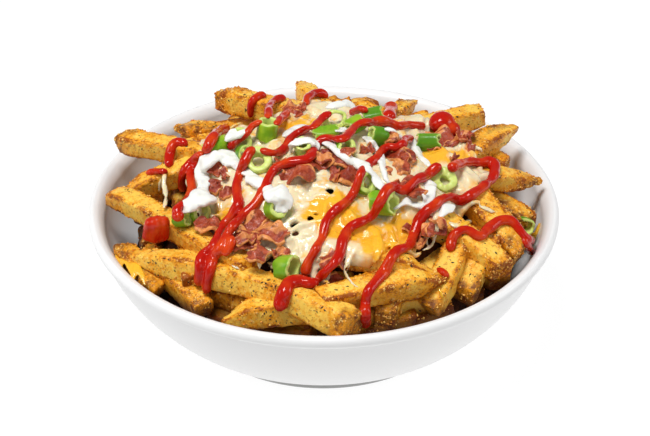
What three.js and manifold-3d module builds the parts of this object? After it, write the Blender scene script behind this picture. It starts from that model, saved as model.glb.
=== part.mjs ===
// Loaded french fries heaped in a white bowl: melted cheese, bacon, green onion, ketchup and sour cream.
// Millimetres, +Z up, the bowl stands on z = 0 about the origin and the viewer's side is -Y.
import * as THREE from "three";
import { mergeVertices } from "three/addons/utils/BufferGeometryUtils.js";
import Module from "manifold-3d";

const wasm = await Module();
wasm.setup();

// Bowl sizes
const RIM_R = 105;
const BOWL_H = 58;
const BODY_R = 102;
const BODY_H = 53;
const FOOT_R = 65.5;
const FOOT_H = 6.8;
const WALL = 4;
const FLOOR_TOP = 10;
const BOWL_SIDES = 32;

// Heap sizes
const DOME_RISE = 30;
const DOME_R = 80;
const CORE_SINK = 6;
const CORE_SINK_OUTER = 14;
const FRY = 11;
const CHAMFER_FROM = 12.4;
const SPOKES = 24;
const GAP = 0.35;
const ROOM_CLEAR = 0.7;
const CORE_CLEAR = 1.8;
const RULE_FRIES = 14;
const BACK_FRIES = 6;
const FIELD_CELL = 8;

// Onion rings and bacon: sides of a ring and of a half ring, how high they rest, half thickness of bacon
const RING_SIDES = 7;
const HALF_RING_SIDES = 4;
const REST = 0.72;
const BACON_HALF = 0.95;

// Sauce strings
const KETCHUP_R = 2.3;
const CREAM_R = 2.1;
const STRING_STEP = 18;
const STRING_SIDES = 4;
const STRING_CLIMB = 5.5;
const DROP_SIDES = 6;
const DROP_ROWS = 4;

const TURN = 2 * Math.PI;
const rad = (degrees) => (degrees * Math.PI) / 180;
const V = (x, y, z) => new THREE.Vector3(x, y, z);

// The same number between 0 and 1 for the same pair on every machine
function draw(i, k) {
  const s = Math.sin(i * 12.9898 + k * 78.233) * 43758.5453;
  return s - Math.floor(s);
}

function smooth(a, b, x) {
  const t = Math.min(1, Math.max(0, (x - a) / (b - a)));
  return t * t * (3 - 2 * t);
}

// Solid from shared points and triangles
function solid(points, faces) {
  const vertProperties = new Float32Array(points.length * 3);
  points.forEach((p, i) => p.toArray(vertProperties, i * 3));
  const triVerts = new Uint32Array(faces);
  return new wasm.Manifold(new wasm.Mesh({ numProp: 3, vertProperties, triVerts }));
}

function solidOf(geometry) {
  geometry.deleteAttribute("normal");
  geometry.deleteAttribute("uv");
  const merged = mergeVertices(geometry, 1e-3);
  const faces = [];
  const index = merged.index.array;
  for (let i = 0; i < index.length; i += 3) {
    const [a, b, c] = [index[i], index[i + 1], index[i + 2]];
    if (a !== b && b !== c && c !== a) faces.push(a, b, c);
  }
  const points = [];
  const position = merged.getAttribute("position");
  for (let i = 0; i < position.count; i++) {
    points.push(new THREE.Vector3().fromBufferAttribute(position, i));
  }
  return solid(points, faces);
}

// Skin over a row of rings with the same number of points; the ends are capped, or the row closes on itself
function skin(rings, closed = false) {
  const n = rings[0].length;
  const rows = closed ? rings.length : rings.length - 1;
  const faces = [];
  for (let i = 0; i < rows; i++) {
    const here = i * n;
    const next = ((i + 1) % rings.length) * n;
    for (let j = 0; j < n; j++) {
      const k = (j + 1) % n;
      faces.push(here + j, here + k, next + k, here + j, next + k, next + j);
    }
  }
  if (!closed) {
    const last = (rings.length - 1) * n;
    for (let j = 1; j + 1 < n; j++) {
      faces.push(0, j + 1, j);
      faces.push(last, last + j, last + j + 1);
    }
  }
  return solid(rings.flat(), faces);
}

function union(solids) {
  let level = solids;
  while (level.length > 1) {
    const next = [];
    for (let i = 0; i < level.length; i += 2) {
      next.push(i + 1 < level.length ? level[i].add(level[i + 1]) : level[i]);
    }
    level = next;
  }
  return level[0];
}

function largest(body) {
  return body.decompose().sort((a, b) => b.volume() - a.volume())[0];
}

// Frame across a path: side and lift, both square to the way it runs
function across(along) {
  const way = along.clone().normalize();
  const side = V(0, 0, 1).cross(way);
  if (side.length() < 1e-3) side.set(1, 0, 0);
  side.normalize();
  const lift = way.clone().cross(side).normalize();
  return { side, lift };
}

// Bowl: outer and inner skin follow the same rounded curve, angle a from the foot (0) to the rim (90)
function outerSkin(a) {
  const r = FOOT_R + (BODY_R - FOOT_R) * Math.sin(rad(a)) ** (4 / 3);
  const z = BODY_H - (BODY_H - FOOT_H) * Math.cos(rad(a)) ** (4 / 3);
  return [r, z];
}

function innerSkin(a, off = 0) {
  const reach = BODY_R - WALL;
  const r = FOOT_R - WALL + (reach - FOOT_R + WALL) * Math.sin(rad(a)) ** (4 / 3) - off;
  const z = BODY_H - (BODY_H - FLOOR_TOP) * Math.cos(rad(a)) ** (4 / 3) + off * 0.7;
  return [r, z];
}

const CURVE = [0, 16, 33, 50, 68, 88];

function turned(profile, sides) {
  const points = profile.map(([r, z]) => new THREE.Vector2(r, z));
  const lathe = new THREE.LatheGeometry(points, sides);
  lathe.rotateX(Math.PI / 2);
  let body = solidOf(lathe);
  if (body.volume() < 0) {
    body = solidOf(new THREE.LatheGeometry(points.reverse(), sides).rotateX(Math.PI / 2));
  }
  return body;
}

function makeBowl() {
  const inside = CURVE.map((a) => innerSkin(a));
  const outside = CURVE.map((a) => outerSkin(a)).reverse();
  const rim = [
    [100.8, 56.2],
    [102.2, 57.7],
    [103.5, BOWL_H],
    [RIM_R, 56.2],
    [104.8, 54.2],
    [103.4, 52.9],
  ];
  const foot = [
    [FOOT_R - 0.9, 5.6],
    [FOOT_R - 0.6, 0.9],
    [FOOT_R - 1.5, 0],
    [60.5, 0],
    [59, 3.6],
    [0, 4.4],
  ];
  return turned([[0, FLOOR_TOP - 0.6], ...inside, ...rim, ...outside, ...foot], BOWL_SIDES);
}

// Room for the food: the bowl's inside less a small gap, open upwards
function makeRoom() {
  const inside = CURVE.map((a) => innerSkin(a, ROOM_CLEAR));
  return turned([[0, FLOOR_TOP], ...inside, [100, 57], [101.5, 62], [101.5, 160], [0, 160]], BOWL_SIDES);
}

// Height of the heap over the rim and its low lumps
function dome(r) {
  return BOWL_H + DOME_RISE * (1 - (r / DOME_R) ** 2.2);
}

// Outline of the melted cheese seen from above: azimuth in degrees and radius
const CHEESE_EDGE = [
  [-164, 60], [-147, 62], [-128, 66], [-115, 71], [-102, 73], [-91, 73], [-81, 69],
  [-71, 67], [-63, 69], [-51, 67], [-39, 66], [-27, 72], [-10, 77], [12, 71],
  [31, 68], [42, 60], [56, 51], [75, 45], [95, 42], [115, 43], [135, 48],
  [155, 54], [172, 58],
];

function cheeseEdge(azimuth) {
  const rows = CHEESE_EDGE;
  let a = azimuth;
  while (a < rows[0][0]) a += 360;
  while (a >= rows[0][0] + 360) a -= 360;
  for (let i = 0; i < rows.length; i++) {
    const [a0, r0] = rows[i];
    const [a1, r1] = i + 1 < rows.length ? rows[i + 1] : [rows[0][0] + 360, rows[0][1]];
    if (a >= a0 && a <= a1) {
      return r0 + (r1 - r0) * smooth(0, 1, (a - a0) / (a1 - a0));
    }
  }
  return rows[0][1];
}

// Fries that show: tip x y z, inner end x y z, thickness, upward bow and shape of the tip
const TOP_FRIES = [
  [-84, -42, 56, 12, -93, 56, 12.0, 5, "point"],
  [-94, -4, 61, -30, -67, 65, 10.2, 1, "blunt"],
  [-49, -73, 49, -76, -38, 52, 11.5, 1, "blunt"],
  [-69, -60, 49, -86, -36, 52, 10.0, 0, "blunt"],
  [-41, -83, 51, 6, -78, 54, 11.0, 2, "point"],
  [50, -66, 60, 0, -82, 60, 12.0, 1, "point"],
  [25, -81, 49, 30, -50, 60, 11.8, 0, "blunt"],
  [43, -74, 50, 56, -48, 62, 11.8, 0, "blunt"],
  [58, -64, 50, 72, -38, 62, 11.8, 0, "blunt"],
  [75, -56, 57, 24, -21, 80, 12.5, 1, "blunt"],
  [83, -45, 57, 48, 2, 74, 12.5, 2, "blunt"],
  [75, -50, 46, 60, -28, 56, 11.0, 0, "blunt"],
  [98, 7, 62, 28, -14, 76, 10.0, 0, "point"],
  [89, 38, 72, 40, -6, 66, 11.0, 0, "point"],
  [75, 53, 70, 25, 32, 70, 11.0, 0, "blunt"],
  [44, 70, 68, 20, 30, 70, 9.0, 0, "point"],
  [-12, 77, 74, 8, 28, 76, 10.0, 0, "point"],
  [-48, 61, 74, 10, 30, 78, 12.0, 0, "blunt"],
  [-70, 48, 66, -30, 34, 68, 9.0, 0, "point"],
  [-92, 29, 70, -25, -6, 76, 11.0, 0, "blunt"],
  [-90, -1, 60, -40, 9, 72, 11.0, 1, "point"],
  [91, -12, 51, 62, 8, 61, 10.5, 0, "blunt"],
  [42, -67, 64, 0, -60, 70, 10.5, 1, "point"],
  [84, 20, 61, 46, 56, 61, 10.0, 0, "blunt"],
];

// Lower fries and the ones behind, laid round the bowl by rule: a row of plain fries in two rings
function ruleFries() {
  const list = [];
  for (let i = 0; i < RULE_FRIES; i++) {
    const wide = i % 2;
    const azimuth = rad((i * 360) / RULE_FRIES + 8 * draw(i, 1));
    const r = wide ? 74 + 4 * draw(i, 2) : 64 + 5 * draw(i, 2);
    const half = (wide ? 19 : 27) + 5 * draw(i, 3);
    const turn = azimuth + Math.PI / 2 + rad((wide ? 24 : 44) * (draw(i, 4) - 0.5));
    const z = dome(r) - 13.5 + 2 * draw(i, 5);
    const dx = Math.cos(turn) * half;
    const dy = Math.sin(turn) * half;
    const x = Math.cos(azimuth) * r;
    const y = Math.sin(azimuth) * r;
    const tilt = 6 * (draw(i, 6) - 0.5);
    list.push([x - dx, y - dy, z - tilt, x + dx, y + dy, z + tilt, FRY - 1, 0, "plain"]);
  }
  for (let i = 0; i < BACK_FRIES; i++) {
    const azimuth = rad(42 + i * 19 + 8 * draw(i, 7));
    const r = 66 + 8 * draw(i, 8);
    const half = 24 + 6 * draw(i, 9);
    const turn = azimuth + Math.PI / 2 + rad(80 * (draw(i, 10) - 0.5));
    const z = dome(r) - 8 - Math.max(0, r * Math.sin(azimuth) - 62) * 0.25;
    const dx = Math.cos(turn) * half;
    const dy = Math.sin(turn) * half;
    const x = Math.cos(azimuth) * r;
    const y = Math.sin(azimuth) * r;
    list.push([x - dx, y - dy, z, x + dx, y + dy, z, FRY - 1, 1, "plain"]);
  }
  return list;
}

// One fry: a cut stick with chamfered corners, a little uneven, bent along a bow
function fry(row, seed) {
  const [x0, y0, z0, x1, y1, z1, thick, bow, tip] = row;
  const a = V(x0, y0, z0);
  const b = V(x1, y1, z1);
  const middle = a.clone().add(b).multiplyScalar(0.5).add(V(0, 0, bow * 2));
  const curve = new THREE.QuadraticBezierCurve3(a, middle, b);
  const plain = tip === "plain";
  const chamfered = thick >= CHAMFER_FROM;
  const stops = plain ? [0, 0.5, 1] : [0, 0.06, 0.35, 0.94, 1];
  const rings = stops.map((t, i) => {
    const at = curve.getPoint(t);
    const { side, lift } = across(curve.getTangent(t));
    const roll = rad(16 * (draw(seed, 20) - 0.5));
    const body = 1 + 0.12 * (draw(seed, 21 + i) - 0.5);
    let w = (thick / 2) * body;
    let h = (thick / 2) * (1 + 0.1 * (draw(seed, 31 + i) - 0.5));
    if (!plain && (t === 0 || t === 1)) {
      w *= 0.78;
      h *= 0.78;
    }
    if (tip === "point" && t < 0.2) {
      w *= t === 0 ? 0.42 : 0.7;
      h *= t === 0 ? 0.35 : 0.62;
    }
    const corners = chamfered
      ? [[1, -0.6], [1, 0.6], [0.6, 1], [-0.6, 1], [-1, 0.6], [-1, -0.6], [-0.6, -1], [0.6, -1]]
          .map(([u, v]) => [u * w, v * h])
      : [[1, -1], [1, 1], [-1, 1], [-1, -1]].map(([u, v]) => [u * w * 0.94, v * h * 0.94]);
    return corners.map(([u, v]) => {
      const p = u * Math.cos(roll) - v * Math.sin(roll);
      const q = u * Math.sin(roll) + v * Math.cos(roll);
      return at.clone().addScaledVector(side, p).addScaledVector(lift, q);
    });
  });
  return skin(rings);
}

// Ground under the cheese; s is the share of the way out to the cheese edge
function coreTop(r, s) {
  const sink = CORE_SINK + (CORE_SINK_OUTER - CORE_SINK) * smooth(0.96, 1.12, s);
  return dome(r) - sink;
}

// Low lumps of the melted surface and the ridges of the fries under it
function cheeseTop(x, y) {
  const r = Math.hypot(x, y);
  let z = dome(r) + 1.1 * Math.sin(x / 9 + 1) * Math.cos(y / 8) + 0.6 * Math.sin(x / 4.7 + y / 6.1);
  for (const [x0, y0, z0, x1, y1, z1, thick, bow] of TOP_FRIES) {
    const dx = x1 - x0;
    const dy = y1 - y0;
    const t = ((x - x0) * dx + (y - y0) * dy) / (dx * dx + dy * dy);
    if (t < -0.05 || t > 1.1) continue;
    const off = Math.abs((x - x0) * dy - (y - y0) * dx) / Math.hypot(dx, dy);
    const h = thick / 2;
    if (off > h * 1.9) continue;
    const crest = z0 + (z1 - z0) * t + 4 * bow * t * (1 - t) + h + 1.4;
    const fall = off < h ? 0 : (off - h) * 1.5;
    z = Math.max(z, crest - fall - 3 * smooth(0.98, 1.1, t));
  }
  return z;
}

const SPOKE_ANGLES = [];
for (let j = 0; j < SPOKES; j++) SPOKE_ANGLES.push((j * TURN) / SPOKES);
const EDGE_R = SPOKE_ANGLES.map((a) => cheeseEdge((a * 180) / Math.PI) + 1.2 * Math.sin(7 * a + 1));

// Rings of points on the spokes, closed with a hub at each end. The first rows turn their diagonals the
// other way, so that the underside of the cheese has the same facets as the core below it.
function spoked(rows, hubLow, hubHigh, turnedRows = 0) {
  const n = SPOKES;
  const points = [V(0, 0, hubLow), ...rows.flat(), V(0, 0, hubHigh)];
  const top = points.length - 1;
  const faces = [];
  for (let j = 0; j < n; j++) {
    const k = (j + 1) % n;
    faces.push(0, 1 + k, 1 + j);
    for (let i = 0; i + 1 < rows.length; i++) {
      const a = 1 + i * n;
      const b = a + n;
      if (i < turnedRows) faces.push(a + j, a + k, b + j, a + k, b + k, b + j);
      else faces.push(a + j, a + k, b + k, a + j, b + k, b + j);
    }
    const last = 1 + (rows.length - 1) * n;
    faces.push(top, last + j, last + k);
  }
  return solid(points, faces);
}

const CORE_STEPS = [0.3, 0.62, 0.9, 1.0];
const CHEESE_STEPS = [0.17, 0.35, 0.52, 0.68, 0.82, 0.93, 1.0];

function spokeRow(radiusAt, heightAt) {
  return SPOKE_ANGLES.map((a, j) => {
    const r = radiusAt(j);
    return V(r * Math.cos(a), r * Math.sin(a), heightAt(r, j));
  });
}

function makeCore(lift = 0) {
  const bottom = CURVE.filter((a) => a < 45).map((a) => {
    const [r, z] = innerSkin(a, CORE_CLEAR);
    return spokeRow(() => r, () => z);
  });
  const [edgeR, edgeZ] = innerSkin(50, CORE_CLEAR + 0.4);
  bottom.push(spokeRow(() => edgeR, () => edgeZ));
  const outer = (j) => EDGE_R[j] * 1.12;
  const middle = (j) => (outer(j) + edgeR) / 2 + 1;
  const slope = (r) => Math.max(edgeZ + 4, dome(r) - CORE_SINK_OUTER - 1);
  const top = [
    spokeRow(middle, (r) => slope(r) + lift),
    spokeRow(outer, (r) => dome(r) - CORE_SINK_OUTER + lift),
    ...CORE_STEPS.slice().reverse()
      .map((s) => spokeRow((j) => EDGE_R[j] * s, (r) => coreTop(r, s) + lift)),
  ];
  return spoked([...bottom, ...top], FLOOR_TOP + 0.5, coreTop(0, 0) + lift);
}

function makeCheese() {
  const bottom = CORE_STEPS.map((s) => spokeRow((j) => EDGE_R[j] * s, (r) => coreTop(r, s) + GAP));
  const top = CHEESE_STEPS.slice().reverse().map((s) =>
    SPOKE_ANGLES.map((a, j) => {
      const r = EDGE_R[j] * s;
      const x = r * Math.cos(a);
      const y = r * Math.sin(a);
      const floor = coreTop(r, s) + 2.2;
      return V(x, y, Math.max(floor, cheeseTop(x, y) - 2.4 * smooth(0.94, 1, s)));
    }));
  return spoked([...bottom, ...top], coreTop(0, 0) + GAP, cheeseTop(0, 0), CORE_STEPS.length - 1);
}

// Upright prism over the cheese outline
function cheesePrism(grow) {
  const row = (z) => spokeRow((j) => EDGE_R[j] + grow, () => z);
  return spoked([row(1), row(160)], 1, 160);
}

// Onion rings: x, y, sink, outer radius, wall, length, azimuth and elevation of the axis, arc
const ONIONS = [
  [-25, 8, 1.0, 4.8, 1.9, 9.0, 20, 78, 360],
  [-47, 1, 1.5, 4.0, 1.8, 11.0, 32, 8, 360],
  [-37, 4, 1.5, 5.4, 2.2, 6.0, -80, 35, 210],
  [-35, -6, 1.5, 3.8, 1.7, 5.0, -60, 30, 360],
  [-28, -16, 1.0, 6.2, 3.2, 4.4, -100, 62, 360],
  [-9, -11, 1.0, 4.2, 2.0, 8.0, -100, 68, 360],
  [-53, -35, 1.5, 4.6, 2.0, 6.0, -50, 35, 360],
  [-60, -40, 1.5, 3.8, 1.7, 6.0, -20, 20, 360],
  [-20, -44, 1.0, 5.0, 2.4, 6.0, -50, 40, 360],
  [-15, -69, 2.0, 5.4, 2.1, 7.5, -32, 22, 360],
  [1, 1, 1.5, 3.8, 1.7, 11.0, 10, 8, 360],
  [5, 16, 1.5, 5.2, 2.4, 5.0, -85, 35, 360],
  [14, 11, 1.5, 4.2, 1.9, 8.0, 35, 15, 360],
  [22, 21, 1.5, 4.2, 1.9, 9.0, 8, 10, 360],
  [24, 3, 1.5, 4.2, 1.9, 8.0, -165, 22, 360],
  [9, -11, 1.5, 4.8, 2.2, 5.5, -60, 42, 360],
  [18, -31, 1.5, 5.0, 2.2, 5.5, -55, 35, 360],
  [25, -41, 1.5, 5.6, 2.0, 10.0, -25, 14, 360],
  [52, -18, 1.5, 5.6, 3.8, 5.0, -88, 48, 360],
  [47, 8, 1.0, 3.8, 1.7, 10.0, -15, 8, 360],
  [88, -15, 9.5, 4.6, 1.8, 7.0, -75, 20, 200],
];

// Bacon pieces: x, y, lift, length, width, yaw, pitch, roll, wave height, curl
const BACON = [
  [-48, -8, 1.5, 15, 9, -75, 14, 0, 1.0, 0.2],
  [-46, -21, 1.0, 9, 7, 20, 0, 20, 0.8, 0.5],
  [-49, -45, 1.5, 11, 8.5, -10, 0, 14, 0.8, 0.2],
  [-31, -48, 2.6, 18, 9, 42, 0, 24, 1.6, 0.3],
  [-21, -53, 2.0, 13, 11, -30, 0, 18, 1.0, 0.4],
  [-33, -57, 1.8, 14, 10, 10, 0, 16, 1.0, 0.3],
  [-26, -65, 1.6, 9, 8, 60, 0, 10, 0.8, 0.3],
  [-11, -27, 2.8, 15, 9, -12, 0, 22, 2.2, 1.3],
  [5, -16, 2.4, 16, 8, -35, 0, 26, 1.6, 0.3],
  [-3, -20, 1.8, 15, 7, 15, 0, 20, 1.5, 0.2],
  [9, -26, 1.6, 12, 9, -20, 0, 18, 1.2, 0.3],
  [33, -8, 1.8, 14, 8, -30, 0, 20, 1.4, 0.4],
  [32, -23, 1.5, 10, 8, 20, 0, 18, 1.0, 0.3],
  [30, 0, 1.5, 9, 7, 70, 0, 0, 1.0, 0.3],
  [53, 24, 1.8, 13, 11, 20, 0, 16, 1.6, 0.6],
  [64, 20, 1.6, 9, 8, 60, 0, 0, 1.2, 0.4],
  [38, -33, 1.8, 13, 8, -70, 12, 0, 1.4, 0.3],
  [46, -48, 1.6, 11, 8, 30, 0, 14, 1.4, 0.4],
  [4, -70, 2.0, 12, 8, 15, 0, 12, 0.9, 0.1],
  [-14, 33, 1.4, 10, 7, 10, 0, 12, 1.0, 0.2],
];

function placed(rings, x, y, z, turn) {
  const matrix = new THREE.Matrix4().makeRotationFromEuler(turn);
  matrix.setPosition(x, y, z);
  return rings.map((ring) => ring.map((p) => p.clone().applyMatrix4(matrix)));
}

// An onion ring, or with grow the room it takes: a full ring's room has no hole
function onion([x, y, sink, radius, wall, length, azimuth, elevation, arc], grow) {
  const full = arc === 360;
  const sides = full ? RING_SIDES : HALF_RING_SIDES;
  const outer = radius + grow;
  const inner = Math.max(0.4, radius - wall - grow);
  const half = length / 2 + grow;
  const over = full ? 0 : grow / radius;
  const steps = full ? sides : sides + 1;
  const rings = [];
  for (let i = 0; i < steps; i++) {
    const a = full ? (i * TURN) / sides : rad(90 - arc / 2) - over + ((rad(arc) + 2 * over) * i) / sides;
    const [c, s] = [Math.cos(a), Math.sin(a)];
    rings.push([
      V(inner * c, inner * s, -half),
      V(outer * c, outer * s, -half),
      V(outer * c, outer * s, half),
      V(inner * c, inner * s, half),
    ].reverse());
  }
  const lean = rad(90 - elevation);
  const turn = new THREE.Euler(0, lean, rad(azimuth), "ZYX");
  const tall = Math.abs((length / 2) * Math.cos(lean)) + Math.abs(radius * Math.sin(lean));
  const z = cheeseTop(x, y) - sink + tall * REST;
  if (full && grow > 0) {
    const low = rings.map((ring) => ring[2]);
    const high = rings.map((ring) => ring[1]);
    return skin(placed([low, high], x, y, z, turn));
  }
  return skin(placed(rings, x, y, z, turn), full);
}

function bacon([x, y, lift, length, width, yaw, pitch, roll, wave, curl], grow, seed) {
  const stops = length > 11 ? 5 : 4;
  const half = BACON_HALF + 1.5 * grow;
  const rings = [];
  for (let i = 0; i < stops; i++) {
    const t = i / (stops - 1);
    const end = i === 0 ? -1 : i === stops - 1 ? 1 : 0;
    const u = (t - 0.5) * length + end * grow;
    const swell = wave * Math.sin(t * 7.5 + 6 * draw(seed, 1));
    const w = (width / 2) * (0.86 + 0.28 * draw(seed, 2 + i)) + grow;
    const sag = curl * w * 0.3 * Math.cos(i * 1.7 + seed);
    rings.push([
      V(u, -w, swell - half + sag),
      V(u, w, swell - half - sag),
      V(u, w, swell + half - sag),
      V(u, -w, swell + half + sag),
    ]);
  }
  const turn = new THREE.Euler(rad(roll), rad(pitch), rad(yaw), "ZYX");
  return skin(placed(rings, x, y, cheeseTop(x, y) + lift, turn));
}

// Highest skin under a point, from the triangles of the given solids
function heightField(solids) {
  const cells = new Map();
  const key = (i, j) => i * 1000 + j;
  for (const body of solids) {
    const mesh = body.getMesh();
    const p = mesh.vertProperties;
    const n = mesh.numProp;
    for (let f = 0; f < mesh.triVerts.length; f += 3) {
      const t = [0, 1, 2].map((k) => {
        const o = mesh.triVerts[f + k] * n;
        return [p[o], p[o + 1], p[o + 2]];
      });
      const xs = t.map((q) => Math.floor(q[0] / FIELD_CELL));
      const ys = t.map((q) => Math.floor(q[1] / FIELD_CELL));
      for (let i = Math.min(...xs); i <= Math.max(...xs); i++) {
        for (let j = Math.min(...ys); j <= Math.max(...ys); j++) {
          if (!cells.has(key(i, j))) cells.set(key(i, j), []);
          cells.get(key(i, j)).push(t);
        }
      }
    }
  }
  return (x, y) => {
    let best = -1;
    for (const [a, b, c] of cells.get(key(Math.floor(x / FIELD_CELL), Math.floor(y / FIELD_CELL))) ?? []) {
      const d = (b[0] - a[0]) * (c[1] - a[1]) - (c[0] - a[0]) * (b[1] - a[1]);
      if (Math.abs(d) < 1e-9) continue;
      const u = ((x - a[0]) * (c[1] - a[1]) - (c[0] - a[0]) * (y - a[1])) / d;
      const v = ((b[0] - a[0]) * (y - a[1]) - (x - a[0]) * (b[1] - a[1])) / d;
      if (u < 0 || v < 0 || u + v > 1) continue;
      best = Math.max(best, a[2] + u * (b[2] - a[2]) + v * (c[2] - a[2]));
    }
    return best;
  };
}

// Ketchup strings, as seen from above, each from its first to its last drop
const KETCHUP = [
  [[-61, 12], [-67, 14], [-69, 2]],
  [[-44, 28], [-51, -5], [-52, -2]],
  [[-53, -2], [-63, 0]],
  [[-55, 0], [-59, -4], [-60, -44], [-64, -43]],
  [[-18, 47], [-24, 39], [-25, 11]],
  [[-27, 7], [-41, -1]],
  [[-8, 35], [-5, 51], [2, 53]],
  [[3, 15], [-4, 1], [-12, 7], [-22, -15], [-27, -14]],
  [[-30, -13], [-36, -20], [-36, -37], [-42, -42], [-45, -60], [-49, -59], [-52, -67]],
  [[46, 31], [14, 5], [7, -11], [3, -5], [-2, -5], [-7, -22], [-21, -22], [-49, -71]],
  [[40, 12], [34, -5], [26, -6], [14, -35], [3, -47], [-3, -66], [-8, -70]],
  [[51, -16], [45, -19], [35, -35], [30, -36], [24, -46], [12, -53], [4, -75], [-3, -74]],
  [[54, -18], [65, 0], [75, 4], [75, -6], [68, -20], [62, -27], [56, -27], [40, -44], [16, -89],
   [17, -83]],
  [[53, -54], [58, -47], [66, -49], [76, -36], [87, -41], [91, -19]],
  [[12, 28], [20, 19]],
];

const CREAM = [
  [[-33, 4], [-39, 4], [-43, -1]],
  [[-37, -17], [-41, -7], [-53, -10], [-52, -25], [-58, -40]],
  [[-33, -22], [-20, -34]],
  [[-14, -11], [-4, -11], [-5, -13]],
  [[1, 32], [10, 38], [14, 37]],
  [[-18, 4], [-6, 13]],
  [[-1, -4], [19, -30]],
  [[18, -25], [24, -40]],
  [[17, 5], [23, -2]],
  [[23, -2], [27, -32]],
  [[40, 12], [47, -9]],
  [[45, -21], [42, -41]],
  [[29, -41], [35, -38], [42, -42]],
  [[55, -36], [48, -44]],
];

// Thick drops: x, y, lift, half sizes across, along and up
const DROPS = [
  [-50, -66, 0.5, 5.0, 6.0, 4.0],
  [-43, -68, 0.5, 4.5, 6.0, 3.6],
  [-16, -84, 0.5, 5.0, 6.5, 4.2],
  [-8, -76, 0.5, 6.0, 4.5, 3.8],
  [-70, -36, 0.5, 5.5, 6.5, 4.2],
  [53, 34, 0.5, 7.0, 7.0, 5.0],
  [31, 49, 1.0, 5.0, 5.0, 5.5],
  [-18, -42, 0.5, 5.5, 5.5, 3.0],
];

function stringOf(path, radius, groundAt, toppingAt) {
  const flat = new THREE.CatmullRomCurve3(path.map(([x, y]) => V(x, y, 0)), false, "centripetal");
  const steps = Math.max(3, Math.round(flat.getLength() / STRING_STEP));
  const points = flat.getSpacedPoints(steps);
  const around = [[0, 0], [radius, 0], [-radius, 0], [0, radius], [0, -radius]];
  const heights = points.map((p) => groundAt(p.x, p.y) + radius * 0.35);
  const fine = flat.getSpacedPoints(steps * 3);
  fine.forEach((p, k) => {
    const over = Math.max(...around.map(([u, v]) => toppingAt(p.x + u, p.y + v)));
    if (over < 0) return;
    const clear = Math.min(over + 0.6 + radius * 0.75, groundAt(p.x, p.y) + STRING_CLIMB);
    for (const i of [Math.floor(k / 3), Math.ceil(k / 3)]) {
      heights[i] = Math.max(heights[i], clear);
    }
  });
  for (let pass = 0; pass < 2; pass++) {
    for (let i = 1; i < steps; i++) {
      const bridge = (heights[i - 1] + heights[i + 1]) / 2 - 1.5;
      heights[i] = Math.max(heights[i], bridge);
    }
  }
  points.forEach((p, i) => (p.z = heights[i]));
  const rings = points.map((p, i) => {
    const before = points[Math.max(0, i - 1)];
    const after = points[Math.min(steps, i + 1)];
    const { side, lift } = across(after.clone().sub(before));
    const end = i === 0 || i === steps ? 0.7 : 1;
    const r = radius * end * (1 + 0.12 * Math.sin(i * 1.9 + path[0][0]));
    const ring = [];
    for (let k = 0; k < STRING_SIDES; k++) {
      const a = ((k + 0.5) * TURN) / STRING_SIDES;
      ring.push(
        p.clone().addScaledVector(side, r * Math.cos(a)).addScaledVector(lift, r * Math.sin(a) * 0.9),
      );
    }
    return ring;
  });
  return skin(rings);
}

function drop([x, y, lift, a, b, c], groundAt) {
  const ball = new THREE.SphereGeometry(1, DROP_SIDES, DROP_ROWS).rotateX(Math.PI / 2);
  ball.scale(a, b, c);
  ball.translate(x, y, groundAt(x, y) + lift);
  return solidOf(ball);
}

// Everything is laid in order: fries, cheese, toppings, then the sauces over them
const bowl = makeBowl();
const room = makeRoom();
const fries = union([...TOP_FRIES, ...ruleFries()].map((row, i) => fry(row, i + 1)));
const outsideFries = fries.subtract(cheesePrism(GAP + 0.15));
let heap = makeCore().add(outsideFries).intersect(room);
let cheese = makeCheese();

const toppings = [];
let taken = null;
function lay(name, piece, grown) {
  const body = largest(taken ? piece.subtract(taken) : piece);
  toppings.push({ name, body });
  taken = taken ? taken.add(grown) : grown;
}
ONIONS.forEach((row, i) => {
  lay("onion_" + String(i + 1).padStart(2, "0"), onion(row, 0), onion(row, GAP));
});
BACON.forEach((row, i) => {
  lay("bacon_" + String(i + 1).padStart(2, "0"), bacon(row, 0, i + 1), bacon(row, GAP, i + 1));
});

const groundAt = heightField([heap, cheese]);
const toppingAt = heightField(toppings.map((t) => t.body));
const sauce = union([
  ...KETCHUP.map((path) => stringOf(path, KETCHUP_R, groundAt, toppingAt)),
  ...DROPS.map((row) => drop(row, groundAt)),
  ...CREAM.map((path) => stringOf(path, CREAM_R, groundAt, toppingAt)),
]);
heap = largest(heap.add(sauce.subtract(cheesePrism(GAP + 0.15)).intersect(room)).subtract(taken));
const sauceOnCheese = sauce.intersect(cheesePrism(0)).subtract(makeCore(GAP + 0.3));
cheese = largest(cheese.add(sauceOnCheese).subtract(taken));

// Named meshes of the group
const group = new THREE.Group();
const MATERIALS = {
  bowl: new THREE.MeshStandardMaterial({ name: "bowl_white", color: 0xf2f2f0, roughness: 0.2 }),
  fries: new THREE.MeshStandardMaterial({ name: "fries_golden", color: 0xd99a3a, roughness: 0.6 }),
  cheese: new THREE.MeshStandardMaterial({ name: "cheese_melted", color: 0xf0c060, roughness: 0.4 }),
  onion: new THREE.MeshStandardMaterial({ name: "onion_green", color: 0x6fae3a, roughness: 0.5 }),
  bacon: new THREE.MeshStandardMaterial({ name: "bacon_crisp", color: 0x8a3a26, roughness: 0.5 }),
};

function show(name, body, material) {
  const mesh = body.getMesh();
  const position = new Float32Array(mesh.numVert * 3);
  for (let i = 0; i < mesh.numVert; i++) {
    for (let k = 0; k < 3; k++) position[i * 3 + k] = mesh.vertProperties[i * mesh.numProp + k];
  }
  const geometry = new THREE.BufferGeometry();
  geometry.setAttribute("position", new THREE.BufferAttribute(position, 3));
  geometry.setIndex(new THREE.BufferAttribute(new Uint32Array(mesh.triVerts), 1));
  geometry.computeVertexNormals();
  const node = new THREE.Mesh(geometry, material);
  node.name = name;
  group.add(node);
}

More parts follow.
